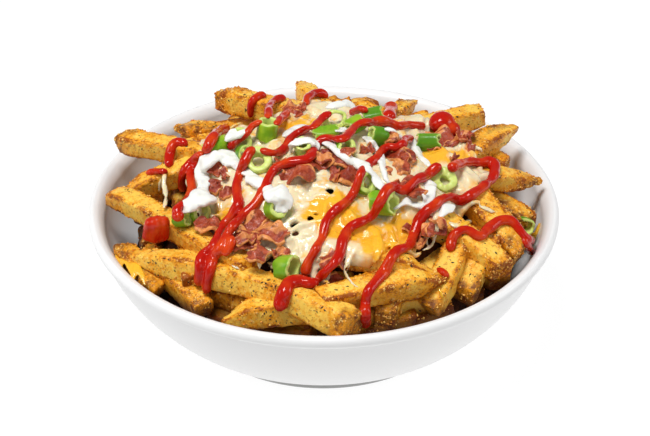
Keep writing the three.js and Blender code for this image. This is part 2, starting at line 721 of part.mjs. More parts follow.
show("bowl", bowl, MATERIALS.bowl);
show("fries_heap", heap, MATERIALS.fries);
show("melted_cheese", cheese, MATERIALS.cheese);
for (const { name, body } of toppings) {
  show(name, body, name.startsWith("onion") ? MATERIALS.onion : MATERIALS.bacon);
}

export default group;
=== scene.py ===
import math

import bpy
import numpy as np
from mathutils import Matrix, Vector
from mathutils.bvhtree import BVHTree
from mathutils.kdtree import KDTree


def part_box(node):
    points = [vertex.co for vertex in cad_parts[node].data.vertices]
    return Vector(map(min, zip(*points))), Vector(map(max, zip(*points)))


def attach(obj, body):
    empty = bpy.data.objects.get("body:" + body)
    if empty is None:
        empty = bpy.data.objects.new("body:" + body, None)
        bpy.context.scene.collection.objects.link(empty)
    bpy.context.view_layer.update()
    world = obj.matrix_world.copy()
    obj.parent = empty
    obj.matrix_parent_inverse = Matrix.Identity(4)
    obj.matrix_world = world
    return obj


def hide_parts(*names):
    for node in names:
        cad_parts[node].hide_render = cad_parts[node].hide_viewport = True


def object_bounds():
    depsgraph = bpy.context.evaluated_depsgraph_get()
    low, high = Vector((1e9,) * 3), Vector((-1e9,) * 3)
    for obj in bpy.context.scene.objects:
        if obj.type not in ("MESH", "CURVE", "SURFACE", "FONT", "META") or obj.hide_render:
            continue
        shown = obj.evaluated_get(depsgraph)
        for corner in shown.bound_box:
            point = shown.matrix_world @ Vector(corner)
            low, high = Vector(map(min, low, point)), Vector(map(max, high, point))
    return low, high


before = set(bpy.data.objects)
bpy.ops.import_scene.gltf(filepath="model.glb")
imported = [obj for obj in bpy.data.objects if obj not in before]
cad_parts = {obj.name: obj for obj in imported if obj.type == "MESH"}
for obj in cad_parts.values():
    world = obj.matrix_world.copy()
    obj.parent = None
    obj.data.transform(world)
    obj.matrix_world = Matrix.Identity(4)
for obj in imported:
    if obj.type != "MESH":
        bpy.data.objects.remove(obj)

bl_info = {
    "name": "Loaded fries bowl",
    "version": (1, 0, 0),
    "blender": (4, 5, 0),
    "location": "View3D > Sidebar > Loaded fries",
    "description": "Builds a heaped bowl of loaded french fries around its packed frame",
    "category": "Object",
}

CAD_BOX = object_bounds()
MM = 0.001
TURN = 2 * math.pi
ONION_NODES = sorted(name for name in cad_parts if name.startswith("onion_"))
BACON_NODES = sorted(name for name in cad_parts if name.startswith("bacon_"))

# Bowl and heap sizes in millimetres, from the frame where it has them
RIM_R = 500.0 * (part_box("bowl")[1][0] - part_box("bowl")[0][0])
BOWL_H = 1000.0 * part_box("bowl")[1][2]
HEAP_TOP = 1000.0 * CAD_BOX[1][2]
BODY_R = RIM_R - 3.0
BODY_H = BOWL_H - 5.0
FOOT_R = 65.5
FOOT_H = 6.8
WALL = 4.0
FLOOR_TOP = 10.0
DOME_RISE = 30.0
DOME_R = 80.0
CORE_SINK = 6.0
CORE_SINK_OUTER = 14.0
EASE_DEPTH = 4.0
EASE_SHARE = 0.6

# Fries that show: tip x y z, inner end x y z, thickness, upward bow, shape of the tip, skin
TOP_FRIES = [
    (-84, -42, 56, 12, -93, 56, 12.0, 5, "point", "inner"),
    (-94, -4, 61, -30, -67, 65, 10.2, 1, "blunt", "none"),
    (-49, -73, 49, -76, -38, 52, 11.5, 1, "blunt", "tip"),
    (-69, -60, 49, -86, -36, 52, 10.0, 0, "blunt", "side"),
    (-41, -83, 51, 6, -78, 54, 11.0, 2, "point", "none"),
    (50, -66, 60, 0, -82, 60, 12.0, 1, "point", "none"),
    (25, -81, 49, 30, -50, 60, 11.8, 0, "blunt", "tip"),
    (43, -74, 50, 56, -48, 62, 11.8, 0, "blunt", "tip"),
    (58, -64, 50, 72, -38, 62, 11.8, 0, "blunt", "tip"),
    (75, -56, 57, 24, -21, 80, 12.5, 1, "blunt", "none"),
    (83, -45, 57, 48, 2, 74, 12.5, 2, "blunt", "tip"),
    (75, -50, 46, 60, -28, 56, 11.0, 0, "blunt", "side"),
    (98, 7, 62, 28, -14, 76, 10.0, 0, "point", "tip"),
    (89, 38, 72, 40, -6, 66, 11.0, 0, "point", "side"),
    (75, 53, 70, 25, 32, 70, 11.0, 0, "blunt", "none"),
    (44, 70, 68, 20, 30, 70, 9.0, 0, "point", "side"),
    (-12, 77, 74, 8, 28, 76, 10.0, 0, "point", "none"),
    (-48, 61, 74, 10, 30, 78, 12.0, 0, "blunt", "tip"),
    (-70, 48, 66, -30, 34, 68, 9.0, 0, "point", "side"),
    (-92, 29, 70, -25, -6, 76, 11.0, 0, "blunt", "tip"),
    (-90, -1, 60, -40, 9, 72, 11.0, 1, "point", "none"),
    (91, -12, 51, 62, 8, 61, 10.5, 0, "blunt", "side"),
    (42, -67, 64, 0, -60, 70, 10.5, 1, "point", "none"),
    (84, 20, 61, 46, 56, 61, 10.0, 0, "blunt", "none"),
]
FRY = 11.0

# Outline of the melted cheese seen from above: azimuth in degrees and radius
CHEESE_EDGE = [
    (-164, 60), (-147, 62), (-128, 66), (-115, 71), (-102, 73), (-91, 73), (-81, 69),
    (-71, 67), (-63, 69), (-51, 67), (-39, 66), (-27, 72), (-10, 77), (12, 71),
    (31, 68), (42, 60), (56, 51), (75, 45), (95, 42), (115, 43), (135, 48),
    (155, 54), (172, 58),
]

# Onion rings: x, y, sink, outer radius, wall, length, azimuth and elevation of the axis, arc
ONIONS = [
    (-25, 8, 1.0, 4.8, 1.9, 9.0, 20, 78, 360),
    (-47, 1, 1.5, 4.0, 1.8, 11.0, 32, 8, 360),
    (-37, 4, 1.5, 5.4, 2.2, 6.0, -80, 35, 210),
    (-35, -6, 1.5, 3.8, 1.7, 5.0, -60, 30, 360),
    (-28, -16, 1.0, 6.2, 3.2, 4.4, -100, 62, 360),
    (-9, -11, 1.0, 4.2, 2.0, 8.0, -100, 68, 360),
    (-53, -35, 1.5, 4.6, 2.0, 6.0, -50, 35, 360),
    (-60, -40, 1.5, 3.8, 1.7, 6.0, -20, 20, 360),
    (-20, -44, 1.0, 5.0, 2.4, 6.0, -50, 40, 360),
    (-15, -69, 2.0, 5.4, 2.1, 7.5, -32, 22, 360),
    (1, 1, 1.5, 3.8, 1.7, 11.0, 10, 8, 360),
    (5, 16, 1.5, 5.2, 2.4, 5.0, -85, 35, 360),
    (14, 11, 1.5, 4.2, 1.9, 8.0, 35, 15, 360),
    (22, 21, 1.5, 4.2, 1.9, 9.0, 8, 10, 360),
    (24, 3, 1.5, 4.2, 1.9, 8.0, -165, 22, 360),
    (9, -11, 1.5, 4.8, 2.2, 5.5, -60, 42, 360),
    (18, -31, 1.5, 5.0, 2.2, 5.5, -55, 35, 360),
    (25, -41, 1.5, 5.6, 2.0, 10.0, -25, 14, 360),
    (52, -18, 1.5, 5.6, 3.8, 5.0, -88, 48, 360),
    (47, 8, 1.0, 3.8, 1.7, 10.0, -15, 8, 360),
    (88, -15, 9.5, 4.6, 1.8, 7.0, -75, 20, 200),
]

# Bacon pieces: x, y, lift, length, width, yaw, pitch, roll, wave height, curl
BACON = [
    (-48, -8, 1.5, 15, 9, -75, 14, 0, 1.0, 0.2),
    (-46, -21, 1.0, 9, 7, 20, 0, 20, 0.8, 0.5),
    (-49, -45, 1.5, 11, 8.5, -10, 0, 14, 0.8, 0.2),
    (-31, -48, 2.6, 18, 9, 42, 0, 24, 1.6, 0.3),
    (-21, -53, 2.0, 13, 11, -30, 0, 18, 1.0, 0.4),
    (-33, -57, 1.8, 14, 10, 10, 0, 16, 1.0, 0.3),
    (-26, -65, 1.6, 9, 8, 60, 0, 10, 0.8, 0.3),
    (-11, -27, 2.8, 15, 9, -12, 0, 22, 2.2, 1.3),
    (5, -16, 2.4, 16, 8, -35, 0, 26, 1.6, 0.3),
    (-3, -20, 1.8, 15, 7, 15, 0, 20, 1.5, 0.2),
    (9, -26, 1.6, 12, 9, -20, 0, 18, 1.2, 0.3),
    (33, -8, 1.8, 14, 8, -30, 0, 20, 1.4, 0.4),
    (32, -23, 1.5, 10, 8, 20, 0, 18, 1.0, 0.3),
    (30, 0, 1.5, 9, 7, 70, 0, 0, 1.0, 0.3),
    (53, 24, 1.8, 13, 11, 20, 0, 16, 1.6, 0.6),
    (64, 20, 1.6, 9, 8, 60, 0, 0, 1.2, 0.4),
    (38, -33, 1.8, 13, 8, -70, 12, 0, 1.4, 0.3),
    (46, -48, 1.6, 11, 8, 30, 0, 14, 1.4, 0.4),
    (4, -70, 2.0, 12, 8, 15, 0, 12, 0.9, 0.1),
    (-14, 33, 1.4, 10, 7, 10, 0, 12, 1.0, 0.2),
]

# Ketchup and sour cream strings: radius and the places a string runs through; drops: place and radius.
# Waypoints were picked by eye; a separate program laid them on the heap and printed the places written here.
KETCHUP = [
    (2.2, [(-61.2, 11.7, 78.1), (-64.1, 14.5, 77.9), (-65.7, 14.9, 77.8), (-67.1, 14.2, 77.7),
           (-68.2, 11.8, 77.0), (-69.0, 10.4, 74.4), (-69.2, 9.0, 73.5), (-68.8, 2.2, 72.3)]),
    (1.6, [(-79.3, 2.3, 69.1), (-75.0, 1.5, 70.6), (-71.4, -1.8, 72.5), (-69.0, -1.1, 71.8)]),
    (2.3, [(-43.7, 28.1, 77.3), (-45.0, 25.3, 78.6), (-46.7, 18.3, 81.9), (-48.1, 2.1, 88.4),
           (-49.4, -2.3, 88.0), (-50.6, -5.2, 86.7), (-52.1, -2.3, 82.8)]),
    (2.2, [(-53.0, -2.4, 81.8), (-55.9, 0.3, 78.7), (-59.1, 1.3, 75.7), (-61.2, -1.1, 73.6),
           (-62.1, -1.9, 71.7), (-63.0, -1.5, 67.2), (-63.0, 0.1, 61.0)]),
    (2.0, [(-54.6, -0.2, 77.9), (-57.7, -1.4, 73.9), (-58.9, -4.5, 72.8), (-57.5, -14.0, 72.0),
           (-57.5, -18.9, 71.8), (-58.4, -25.9, 73.5), (-59.7, -38.6, 78.7), (-61.9, -42.1, 78.2),
           (-60.2, -44.3, 76.3), (-63.6, -43.0, 76.4)]),
    (3.1, [(-66.8, -42.0, 74.6), (-67.2, -41.8, 72.0), (-68.4, -40.8, 67.5), (-69.0, -39.8, 61.5)]),
    (3.4, [(-69.4, -42.4, 75.0), (-70.0, -42.0, 72.0), (-71.2, -41.0, 67.5), (-71.8, -40.0, 61.0)]),
    (3.0, [(-71.8, -42.0, 73.9), (-72.6, -41.6, 71.0), (-73.8, -40.6, 67.0), (-74.4, -39.6, 61.5)]),
    (2.0, [(-26.9, 49.5, 81.6), (-28.2, 50.4, 82.2), (-29.7, 50.3, 82.3), (-32.7, 46.8, 81.5),
           (-34.1, 46.0, 78.7), (-34.5, 45.4, 72.7)]),
    (2.0, [(-17.5, 46.7, 82.4), (-19.0, 46.6, 82.9), (-21.3, 44.8, 83.5), (-23.7, 38.8, 84.9),
           (-24.9, 29.1, 87.3), (-24.7, 12.4, 92.4), (-24.7, 11.4, 92.1)]),
    (2.0, [(-27.1, 6.8, 94.2), (-30.9, 6.9, 91.2), (-32.0, 6.0, 90.6), (-33.6, 2.7, 89.6), (-37.3, 3.4, 86.0),
           (-38.6, 2.5, 85.8), (-40.4, -0.1, 85.8), (-41.2, -1.1, 83.1)]),
    (2.0, [(-8.1, 34.8, 85.6), (-7.7, 41.6, 85.3), (-4.6, 51.0, 82.8), (-1.4, 54.2, 81.4), (0.1, 54.2, 80.7),
           (2.0, 52.7, 79.8)]),
    (1.9, [(-16.2, 27.6, 86.0), (-17.3, 24.0, 86.6), (-21.0, 5.2, 92.6)]),
    (2.0, [(3.2, 14.6, 94.3), (0.5, 13.1, 92.5), (-1.1, 10.8, 92.1), (-4.4, 1.3, 94.4), (-5.0, 1.0, 94.1),
           (-8.9, 7.2, 88.4), (-10.9, 7.7, 87.1), (-12.2, 6.9, 86.7), (-14.6, 2.0, 86.7), (-16.3, -5.9, 87.8),
           (-18.2, -9.2, 87.5), (-20.1, -11.9, 88.0), (-22.0, -15.4, 90.1), (-24.1, -15.3, 90.6),
           (-27.4, -13.9, 91.2)]),
    (2.3, [(-30.0, -13.1, 91.8), (-32.2, -15.2, 90.0), (-34.0, -18.9, 87.9), (-35.5, -18.1, 83.6),
           (-36.4, -19.8, 81.6), (-37.2, -26.1, 80.0), (-36.8, -30.2, 78.5), (-35.8, -35.3, 77.8),
           (-36.0, -36.8, 77.2), (-39.1, -40.6, 73.5), (-42.0, -42.5, 71.2), (-43.1, -45.4, 71.2),
           (-44.2, -54.7, 72.1), (-45.4, -59.5, 71.8), (-49.3, -58.9, 67.9), (-50.3, -60.8, 67.3),
           (-50.7, -64.8, 67.0), (-51.1, -66.2, 63.8), (-51.9, -67.1, 57.2)]),
    (2.3, [(46.0, 31.4, 76.4), (42.0, 26.6, 79.3), (38.3, 25.1, 81.0), (33.7, 19.1, 83.5), (33.0, 18.5, 83.8),
           (29.6, 18.5, 85.5), (26.8, 16.1, 88.1), (23.2, 14.7, 88.3), (21.1, 12.2, 89.1), (18.2, 8.2, 92.2),
           (16.1, 7.0, 92.6), (14.3, 5.3, 92.2), (12.8, 2.2, 92.2), (9.3, -8.9, 95.8), (7.4, -10.7, 95.8),
           (3.3, -5.0, 91.7), (0.5, -4.3, 91.1), (-1.9, -4.8, 90.0), (-3.2, -6.4, 89.0), (-3.8, -8.6, 88.8),
           (-5.7, -19.5, 91.1), (-7.2, -21.9, 91.0), (-8.5, -22.5, 91.0), (-14.0, -22.8, 90.3),
           (-17.9, -23.1, 88.8), (-19.8, -22.0, 87.0), (-21.4, -22.5, 85.9), (-24.0, -28.5, 84.0),
           (-26.5, -35.6, 81.0), (-29.1, -39.0, 78.6), (-33.7, -42.1, 75.8), (-37.8, -54.3, 78.2),
           (-39.5, -55.8, 75.7), (-42.3, -62.7, 72.5), (-44.9, -62.1, 69.3), (-45.5, -62.7, 68.3),
           (-46.4, -67.7, 66.3), (-46.8, -68.5, 64.5), (-48.3, -69.6, 57.2), (-48.9, -70.6, 55.7)]),
    (2.2, [(-37.3, -58.8, 76.4), (-38.1, -62.1, 74.3), (-40.8, -65.4, 71.0)]),
    (3.0, [(-2.3, -75.2, 64.5), (-6.4, -77.3, 66.0), (-8.3, -75.8, 65.4), (-10.3, -75.5, 65.7),
           (-14.1, -77.9, 66.3), (-15.8, -83.0, 65.7), (-17.0, -83.7, 62.3), (-17.6, -85.8, 60.7),
           (-18.0, -86.7, 58.9)]),
    (2.1, [(39.5, 12.2, 81.6), (36.4, 5.8, 84.1), (34.1, -4.8, 87.8), (31.6, -4.6, 86.4), (28.2, -3.6, 86.4),
           (25.7, -5.5, 86.0), (22.6, -15.7, 87.5), (19.7, -19.0, 87.1), (18.5, -21.1, 87.5),
           (15.4, -32.4, 89.9), (14.3, -34.8, 87.7), (13.1, -35.9, 83.7), (12.4, -36.7, 82.9),
           (9.7, -40.5, 81.7), (6.5, -45.2, 81.7), (2.8, -47.2, 79.4), (0.7, -51.9, 78.5),
           (-0.5, -57.7, 75.3), (-3.4, -66.2, 74.8), (-6.4, -67.9, 69.8), (-7.4, -69.8, 67.3),
           (-8.1, -70.1, 64.4)]),
    (2.3, [(50.9, -16.5, 84.2), (47.7, -16.8, 83.2), (45.1, -19.2, 81.7), (43.1, -22.1, 82.4),
           (39.4, -29.1, 85.4), (34.9, -34.6, 83.7), (33.8, -35.2, 83.2), (31.3, -34.8, 84.2),
           (29.6, -35.6, 86.1), (26.9, -40.5, 87.9), (25.1, -44.2, 87.7), (23.5, -46.5, 85.7),
           (20.9, -46.2, 79.0), (19.0, -46.9, 77.3), (14.5, -51.5, 78.2), (11.5, -52.8, 77.3),
           (9.7, -55.1, 76.5), (7.4, -64.5, 77.0), (6.3, -69.8, 74.4), (4.1, -75.0, 74.1), (0.8, -74.8, 70.1),
           (-1.4, -72.8, 65.7), (-3.2, -73.9, 64.1)]),
    (2.4, [(53.9, -18.1, 83.2), (55.6, -16.4, 83.7), (58.6, -9.9, 81.2), (65.2, 0.2, 76.4), (67.5, 1.7, 75.1),
           (69.6, 1.8, 74.6), (73.3, 4.7, 73.8), (75.3, 4.0, 73.3), (76.1, 0.9, 73.1), (75.1, -6.2, 73.4),
           (73.3, -9.8, 72.8), (69.8, -17.2, 74.9), (67.9, -20.3, 75.2), (62.2, -27.0, 75.3),
           (59.4, -26.5, 72.9), (58.1, -26.2, 72.7), (56.3, -26.6, 74.3), (54.8, -28.0, 75.6),
           (51.5, -33.4, 79.0), (48.9, -36.6, 79.7), (46.8, -39.8, 79.4), (43.2, -42.6, 78.6),
           (40.1, -44.1, 74.5), (37.1, -50.5, 70.4), (36.1, -54.3, 70.0), (34.8, -58.3, 70.7),
           (32.8, -61.0, 71.8), (29.6, -63.7, 72.1), (27.7, -67.7, 72.5), (26.8, -69.5, 71.6),
           (25.5, -70.4, 68.6), (24.5, -71.6, 67.4), (17.9, -82.6, 66.1), (17.2, -83.5, 64.5),
           (16.8, -83.7, 61.5), (16.7, -84.4, 60.4), (16.5, -89.3, 60.0), (16.5, -89.1, 57.4),
           (16.8, -83.3, 49.7)]),
    (2.3, [(52.6, -54.3, 65.9), (53.4, -49.8, 68.4), (54.7, -49.2, 70.8), (56.4, -48.3, 71.7),
           (58.4, -47.1, 71.9), (60.4, -46.8, 71.6), (63.6, -48.7, 70.0), (65.5, -48.9, 69.2),
           (70.3, -40.5, 68.2), (73.7, -37.4, 69.2), (76.5, -35.9, 69.3), (78.6, -35.6, 69.1),
           (81.0, -36.3, 68.1), (84.5, -40.5, 64.8), (86.6, -40.8, 62.7), (91.2, -19.2, 47.0)]),
    (3.2, [(31.7, 53.5, 75.1), (31.5, 48.7, 75.8), (29.9, 31.9, 80.3)]),
    (1.7, [(84.5, -42.0, 64.0), (85.5, -43.5, 62.4), (86.0, -43.4, 61.4), (91.4, -26.4, 45.5)]),
    (1.9, [(46.9, -61.5, 62.2), (49.1, -65.1, 62.4), (51.6, -66.6, 61.3)]),
    (1.9, [(12.0, 28.2, 84.6), (14.0, 26.2, 87.2), (16.9, 21.4, 91.2), (19.8, 19.2, 91.2)]),
    (1.8, [(42.1, 14.3, 78.0), (42.7, 14.4, 78.6), (44.9, 16.1, 79.1), (46.6, 17.8, 78.5), (49.0, 18.9, 76.9)]),
]
KETCHUP_BLOBS = [
    (54.7, 36.2, 75.2, 6.3),
    (58.6, 33.0, 73.6, 4.6),
    (-61.0, -44.0, 76.6, 2.8),
]
CREAM = [
    (3.0, [(-32.8, 3.6, 90.0), (-34.3, 3.2, 89.8), (-36.7, 4.4, 88.5), (-39.0, 4.5, 87.9), (-42.4, 0.8, 88.4),
           (-43.2, -1.2, 87.2)]),
    (2.4, [(-37.3, 10.3, 82.5), (-40.4, 0.7, 86.1), (-42.0, -1.2, 85.2)]),
    (3.2, [(-37.0, -16.6, 82.3), (-37.7, -14.0, 83.1), (-39.4, -9.0, 82.9), (-41.3, -6.8, 82.9),
           (-42.6, -6.3, 83.3), (-46.8, -6.6, 83.3), (-50.5, -9.3, 82.7), (-52.0, -10.0, 81.3),
           (-53.1, -10.3, 78.4), (-52.7, -13.2, 76.9), (-51.8, -21.1, 77.6), (-51.8, -24.6, 77.3),
           (-53.6, -34.8, 79.9), (-56.0, -37.1, 78.5), (-57.5, -40.5, 78.2), (-58.2, -39.7, 75.2)]),
    (3.4, [(-46.9, -28.6, 75.7), (-49.4, -34.3, 78.9), (-53.6, -36.9, 79.4), (-55.9, -38.1, 77.7)]),
    (3.0, [(-37.2, -10.7, 83.3), (-40.2, -11.2, 82.6), (-42.6, -9.7, 82.0), (-44.7, -8.8, 82.6)]),
    (2.6, [(-36.1, -15.0, 83.4), (-33.6, -17.8, 82.7), (-31.1, -22.9, 83.2)]),
    (3.4, [(-32.8, -21.8, 83.0), (-25.8, -30.3, 83.2), (-20.5, -34.3, 82.8)]),
    (4.4, [(-20.5, -35.8, 84.3), (-18.4, -42.4, 87.0), (-17.9, -43.1, 87.0), (-15.3, -44.7, 83.9),
           (-15.3, -46.4, 81.6)]),
    (3.0, [(-24.4, -30.8, 83.6), (-23.4, -35.1, 84.0), (-21.4, -45.2, 86.7), (-18.7, -43.9, 82.1),
           (-16.1, -47.7, 80.5)]),
    (2.6, [(-13.7, -10.8, 87.9), (-14.2, -10.4, 91.0), (-12.3, -12.4, 94.6), (-10.3, -11.0, 94.7),
           (-7.3, -11.5, 95.4), (-5.3, -11.0, 94.2), (-4.1, -10.8, 92.0), (-5.0, -13.4, 89.4)]),
    (2.4, [(1.1, 32.1, 85.5), (3.3, 32.9, 85.9), (10.4, 38.2, 83.9), (12.7, 38.2, 83.4), (14.4, 36.9, 82.3)]),
    (2.1, [(-17.5, 4.1, 86.6), (-13.0, 10.4, 86.4), (-9.5, 12.6, 86.9), (-6.5, 13.4, 87.9)]),
    (2.2, [(4.5, -1.7, 94.1), (6.1, -1.2, 93.5), (10.3, 5.2, 89.0)]),
    (2.4, [(-1.2, -4.2, 91.0), (0.6, -5.0, 90.0), (1.8, -6.5, 89.9), (4.6, -13.4, 91.4), (6.6, -16.8, 91.2),
           (9.5, -19.2, 90.1), (13.2, -19.8, 88.1), (14.5, -20.6, 87.8), (16.3, -23.3, 88.4),
           (18.7, -29.5, 90.7)]),
    (2.0, [(18.4, -25.0, 88.5), (18.8, -29.5, 90.6), (21.4, -30.3, 87.9), (22.4, -32.2, 86.6),
           (24.3, -40.4, 87.1)]),
    (2.9, [(17.3, 4.9, 86.6), (18.7, 3.3, 86.6), (21.4, -2.0, 87.5), (23.3, -2.4, 85.9)]),
    (1.6, [(23.3, -2.2, 85.7), (24.2, -7.4, 85.6), (24.6, -15.8, 87.2), (25.5, -25.3, 87.2),
           (27.2, -31.5, 84.5)]),
    (2.0, [(26.9, 3.3, 91.7), (29.2, 4.1, 90.2), (32.7, 7.7, 85.2), (35.6, 7.7, 83.4)]),
    (2.1, [(39.7, 12.5, 81.1), (40.0, 6.5, 80.4), (41.5, 1.3, 79.5), (43.7, -5.1, 80.3), (46.8, -9.2, 79.3)]),
    (2.9, [(45.3, -20.9, 79.4), (45.1, -29.0, 80.9), (45.0, -31.7, 80.8), (44.3, -36.3, 80.3),
           (42.0, -40.9, 79.5)]),
    (2.2, [(40.7, -38.8, 84.6), (43.6, -38.2, 80.5), (46.0, -38.4, 79.4)]),
    (1.7, [(28.6, -41.1, 77.7), (31.7, -40.3, 79.5), (33.9, -38.7, 79.2), (35.3, -38.5, 79.4),
           (38.8, -40.1, 79.8), (42.4, -42.0, 78.2)]),
    (1.3, [(32.0, -39.2, 79.4), (35.0, -36.9, 81.0), (37.5, -38.6, 80.0)]),
    (2.5, [(54.7, -35.6, 76.6), (51.1, -39.7, 76.9), (48.2, -44.4, 76.8)]),
    (1.7, [(48.9, -39.5, 78.1), (52.0, -38.8, 76.3), (54.1, -39.0, 74.8)]),
]

# Drips, threads and scraps of cheese, their places found in the same way
STRANDS = [
    (1.30, [(-70.4, -0.7, 71.5), (-70.4, -6.4, 70.6), (-70.3, -8.1, 68.9), (-69.6, -11.2, 68.3),
           (-68.8, -16.2, 68.7), (-68.4, -22.6, 70.2), (-68.5, -28.7, 70.6)]),
    (1.00, [(-72.1, -2.6, 69.6), (-72.9, -1.9, 64.9), (-73.5, -2.1, 61.9)]),
    (0.75, [(7.8, -73.1, 71.4), (8.9, -73.5, 67.6), (9.6, -74.2, 66.6), (11.9, -78.0, 66.0),
           (14.2, -80.6, 65.9)]),
    (0.70, [(11.5, -68.6, 72.2), (10.4, -70.6, 70.1), (10.0, -71.7, 69.9), (8.7, -67.2, 63.3)]),
    (1.00, [(63.2, 16.1, 76.4), (62.4, 13.4, 75.1), (61.3, 6.5, 74.3)]),
    (0.90, [(46.8, -70.8, 59.8), (48.5, -73.9, 57.0), (49.3, -74.7, 55.0)]),
    (2.00, [(19.7, -49.5, 75.2), (22.1, -55.2, 73.9), (22.6, -61.8, 74.3), (22.3, -66.4, 74.1),
           (21.9, -67.8, 72.6), (20.5, -68.8, 69.4)]),
    (1.50, [(13.9, -66.0, 76.4), (11.9, -67.7, 75.2), (10.4, -69.0, 73.2), (8.6, -73.4, 70.7)]),
    (1.60, [(24.9, -68.9, 70.5), (26.6, -70.3, 68.0), (26.1, -72.6, 66.6)]),
    (1.00, [(-89.5, -39.5, 54.2), (-88.0, -42.3, 52.9), (-86.0, -47.3, 53.0), (-84.8, -50.0, 53.4)]),
    (1.50, [(-87.5, -42.5, 54.2), (-83.5, -47.5, 55.2), (-80.4, -53.0, 54.6), (-79.6, -58.5, 53.0)]),
    (1.40, [(-82.0, -47.5, 55.8), (-79.0, -50.5, 56.0), (-76.0, -56.5, 54.6), (-74.6, -61.0, 53.0)]),
    (1.00, [(90.2, -12.9, 52.9), (91.7, -10.9, 46.8), (92.5, -8.9, 42.5), (92.9, -8.6, 40.3)]),
    (1.00, [(96.6, -8.7, 50.1), (95.3, -11.1, 46.3), (91.6, -13.2, 38.5)]),
    (1.70, [(52.1, -43.8, 73.9), (54.4, -45.2, 72.6), (55.7, -45.3, 72.2), (57.9, -44.4, 72.0),
           (60.0, -42.5, 71.9), (60.7, -41.2, 71.6), (62.2, -32.6, 66.4)]),
    (1.60, [(66.0, -29.8, 71.8), (69.2, -30.0, 71.5), (71.8, -31.3, 70.3), (75.0, -31.2, 70.1)]),
    (1.60, [(60.2, -11.3, 79.0), (62.4, -14.4, 78.1), (64.1, -18.7, 76.4)]),
    (1.30, [(-39.2, -66.0, 68.0), (-35.1, -68.6, 67.4), (-32.2, -68.3, 66.4)]),
]

# Small bacon bits: x, y, z, length, yaw, roll; most places were found in the same way
BACON_BITS = [
    (-41, -27, 77.5, 8, 30, 25), (-17.6, -60.4, 69.5, 8, 10, 20), (29, 0.6, 88.4, 9, -20, 30),
    (58, 16.9, 75.8, 7, 40, 10), (62.5, 19, 78, 6, -30, 20), (65.9, 14.6, 75.4, 6, 70, 15),
    (4.8, -25.4, 85.6, 8, 80, 20), (-10.8, 32.2, 85.2, 6, 20, 15), (-12.6, 27.8, 85, 7, -40, 20),
    (10.4, -16.6, 92, 7, 50, 25), (34.8, -11, 85.8, 7, -60, 20), (49.8, 5.3, 81, 7, 10, 20),
    (44.1, -52, 74.5, 9, 75, 25), (47.8, -46, 75.6, 8, -50, 20), (-32, -59.3, 75.6, 9, 35, 30),
    (-27.5, -69.8, 73.8, 8, -20, 25), (-42.7, -16.6, 80.1, 8, -75, 25), (-46.3, -23.7, 77.4, 7, 60, 20),
    (18.4, -6.6, 86.4, 7, 30, 20), (31.4, -32.3, 84.8, 6, 15, 30), (3.8, -71.2, 63.4, 9, 20, 20),
    (-17.9, -17.8, 86, 7, -15, 25), (0.1, -18.7, 89.4, 8, 0, 25), (39.3, -52.2, 68.4, 7, 45, 20),
    (35.3, -47, 72.4, 6, -30, 20), (57.1, -4.4, 80.8, 5, 60, 10),
]


# Sizes and colours that a user would change
class FriesSizes(bpy.types.PropertyGroup):
    ketchup_scale: bpy.props.FloatProperty(
        name="Ketchup scale", description="Scale of the thickness of the ketchup strings",
        default=1.0, min=0.5, max=1.6)
    cream_scale: bpy.props.FloatProperty(
        name="Cream scale", description="Scale of the thickness of the sour cream strings",
        default=1.0, min=0.5, max=1.6)
    cheese_thickness: bpy.props.FloatProperty(
        name="Cheese thickness", description="Thickness of the melted blanket", default=3.0 * MM, unit="LENGTH")
    cheese_voxel: bpy.props.FloatProperty(
        name="Cheese fineness", description="Cell size of the melted cheese", default=0.75 * MM, unit="LENGTH")
    sauce_voxel: bpy.props.FloatProperty(
        name="Sauce fineness", description="Cell size of the sauces", default=0.55 * MM, unit="LENGTH")


COLOURS = {
    "glaze": ("White of the bowl", (0.84, 0.84, 0.84)),
    "potato": ("Pale face of a fry", (0.98, 0.62, 0.095)),
    "gold": ("Fried face of a fry", (0.88, 0.36, 0.014)),
    "crust": ("Browned edge of a fry", (0.30, 0.062, 0.003)),
    "skin": ("Potato skin", (0.19, 0.058, 0.012)),
    "pale_cheese": ("Pale melted cheese", (0.84, 0.72, 0.47)),
    "yellow_cheese": ("Yellow melted cheese", (0.95, 0.47, 0.028)),
    "ketchup": ("Ketchup red", (0.47, 0.0080, 0.002)),
    "sour_cream": ("Sour cream white", (0.83, 0.84, 0.79)),
    "onion_green": ("Outside of a green onion", (0.19, 0.41, 0.013)),
    "onion_pale": ("Inside of a green onion", (0.62, 0.72, 0.20)),
    "lean": ("Lean of the bacon", (0.28, 0.029, 0.011)),
    "fat": ("Crisp fat of the bacon", (0.80, 0.31, 0.090)),
}


class FriesColours(bpy.types.PropertyGroup):
    __annotations__ = {
        key: bpy.props.FloatVectorProperty(
            name=key.replace("_", " ").capitalize(), description=note, default=tone, subtype="COLOR")
        for key, (note, tone) in COLOURS.items()
    }


# Numbers that are the same on every machine
def draw(i, k):
    """Even random number from 0 to 1 for draw k of thing i."""
    s = math.sin(i * 12.9898 + k * 78.233) * 43758.5453
    return s - math.floor(s)


def sway(i, k):
    return draw(i, k) - 0.5


def smooth(a, b, x):
    t = np.clip((x - a) / (b - a), 0.0, 1.0)
    return t * t * (3 - 2 * t)


def lattice(ix, iy, iz, seed):
    h = (ix * 374761393 + iy * 668265263 + iz * 2147483647 + seed * 1274126177) & 0xFFFFFFFF
    h = ((h ^ (h >> 13)) * 1274126177) & 0xFFFFFFFF
    return ((h ^ (h >> 16)) & 0xFFFF) / 65535.0


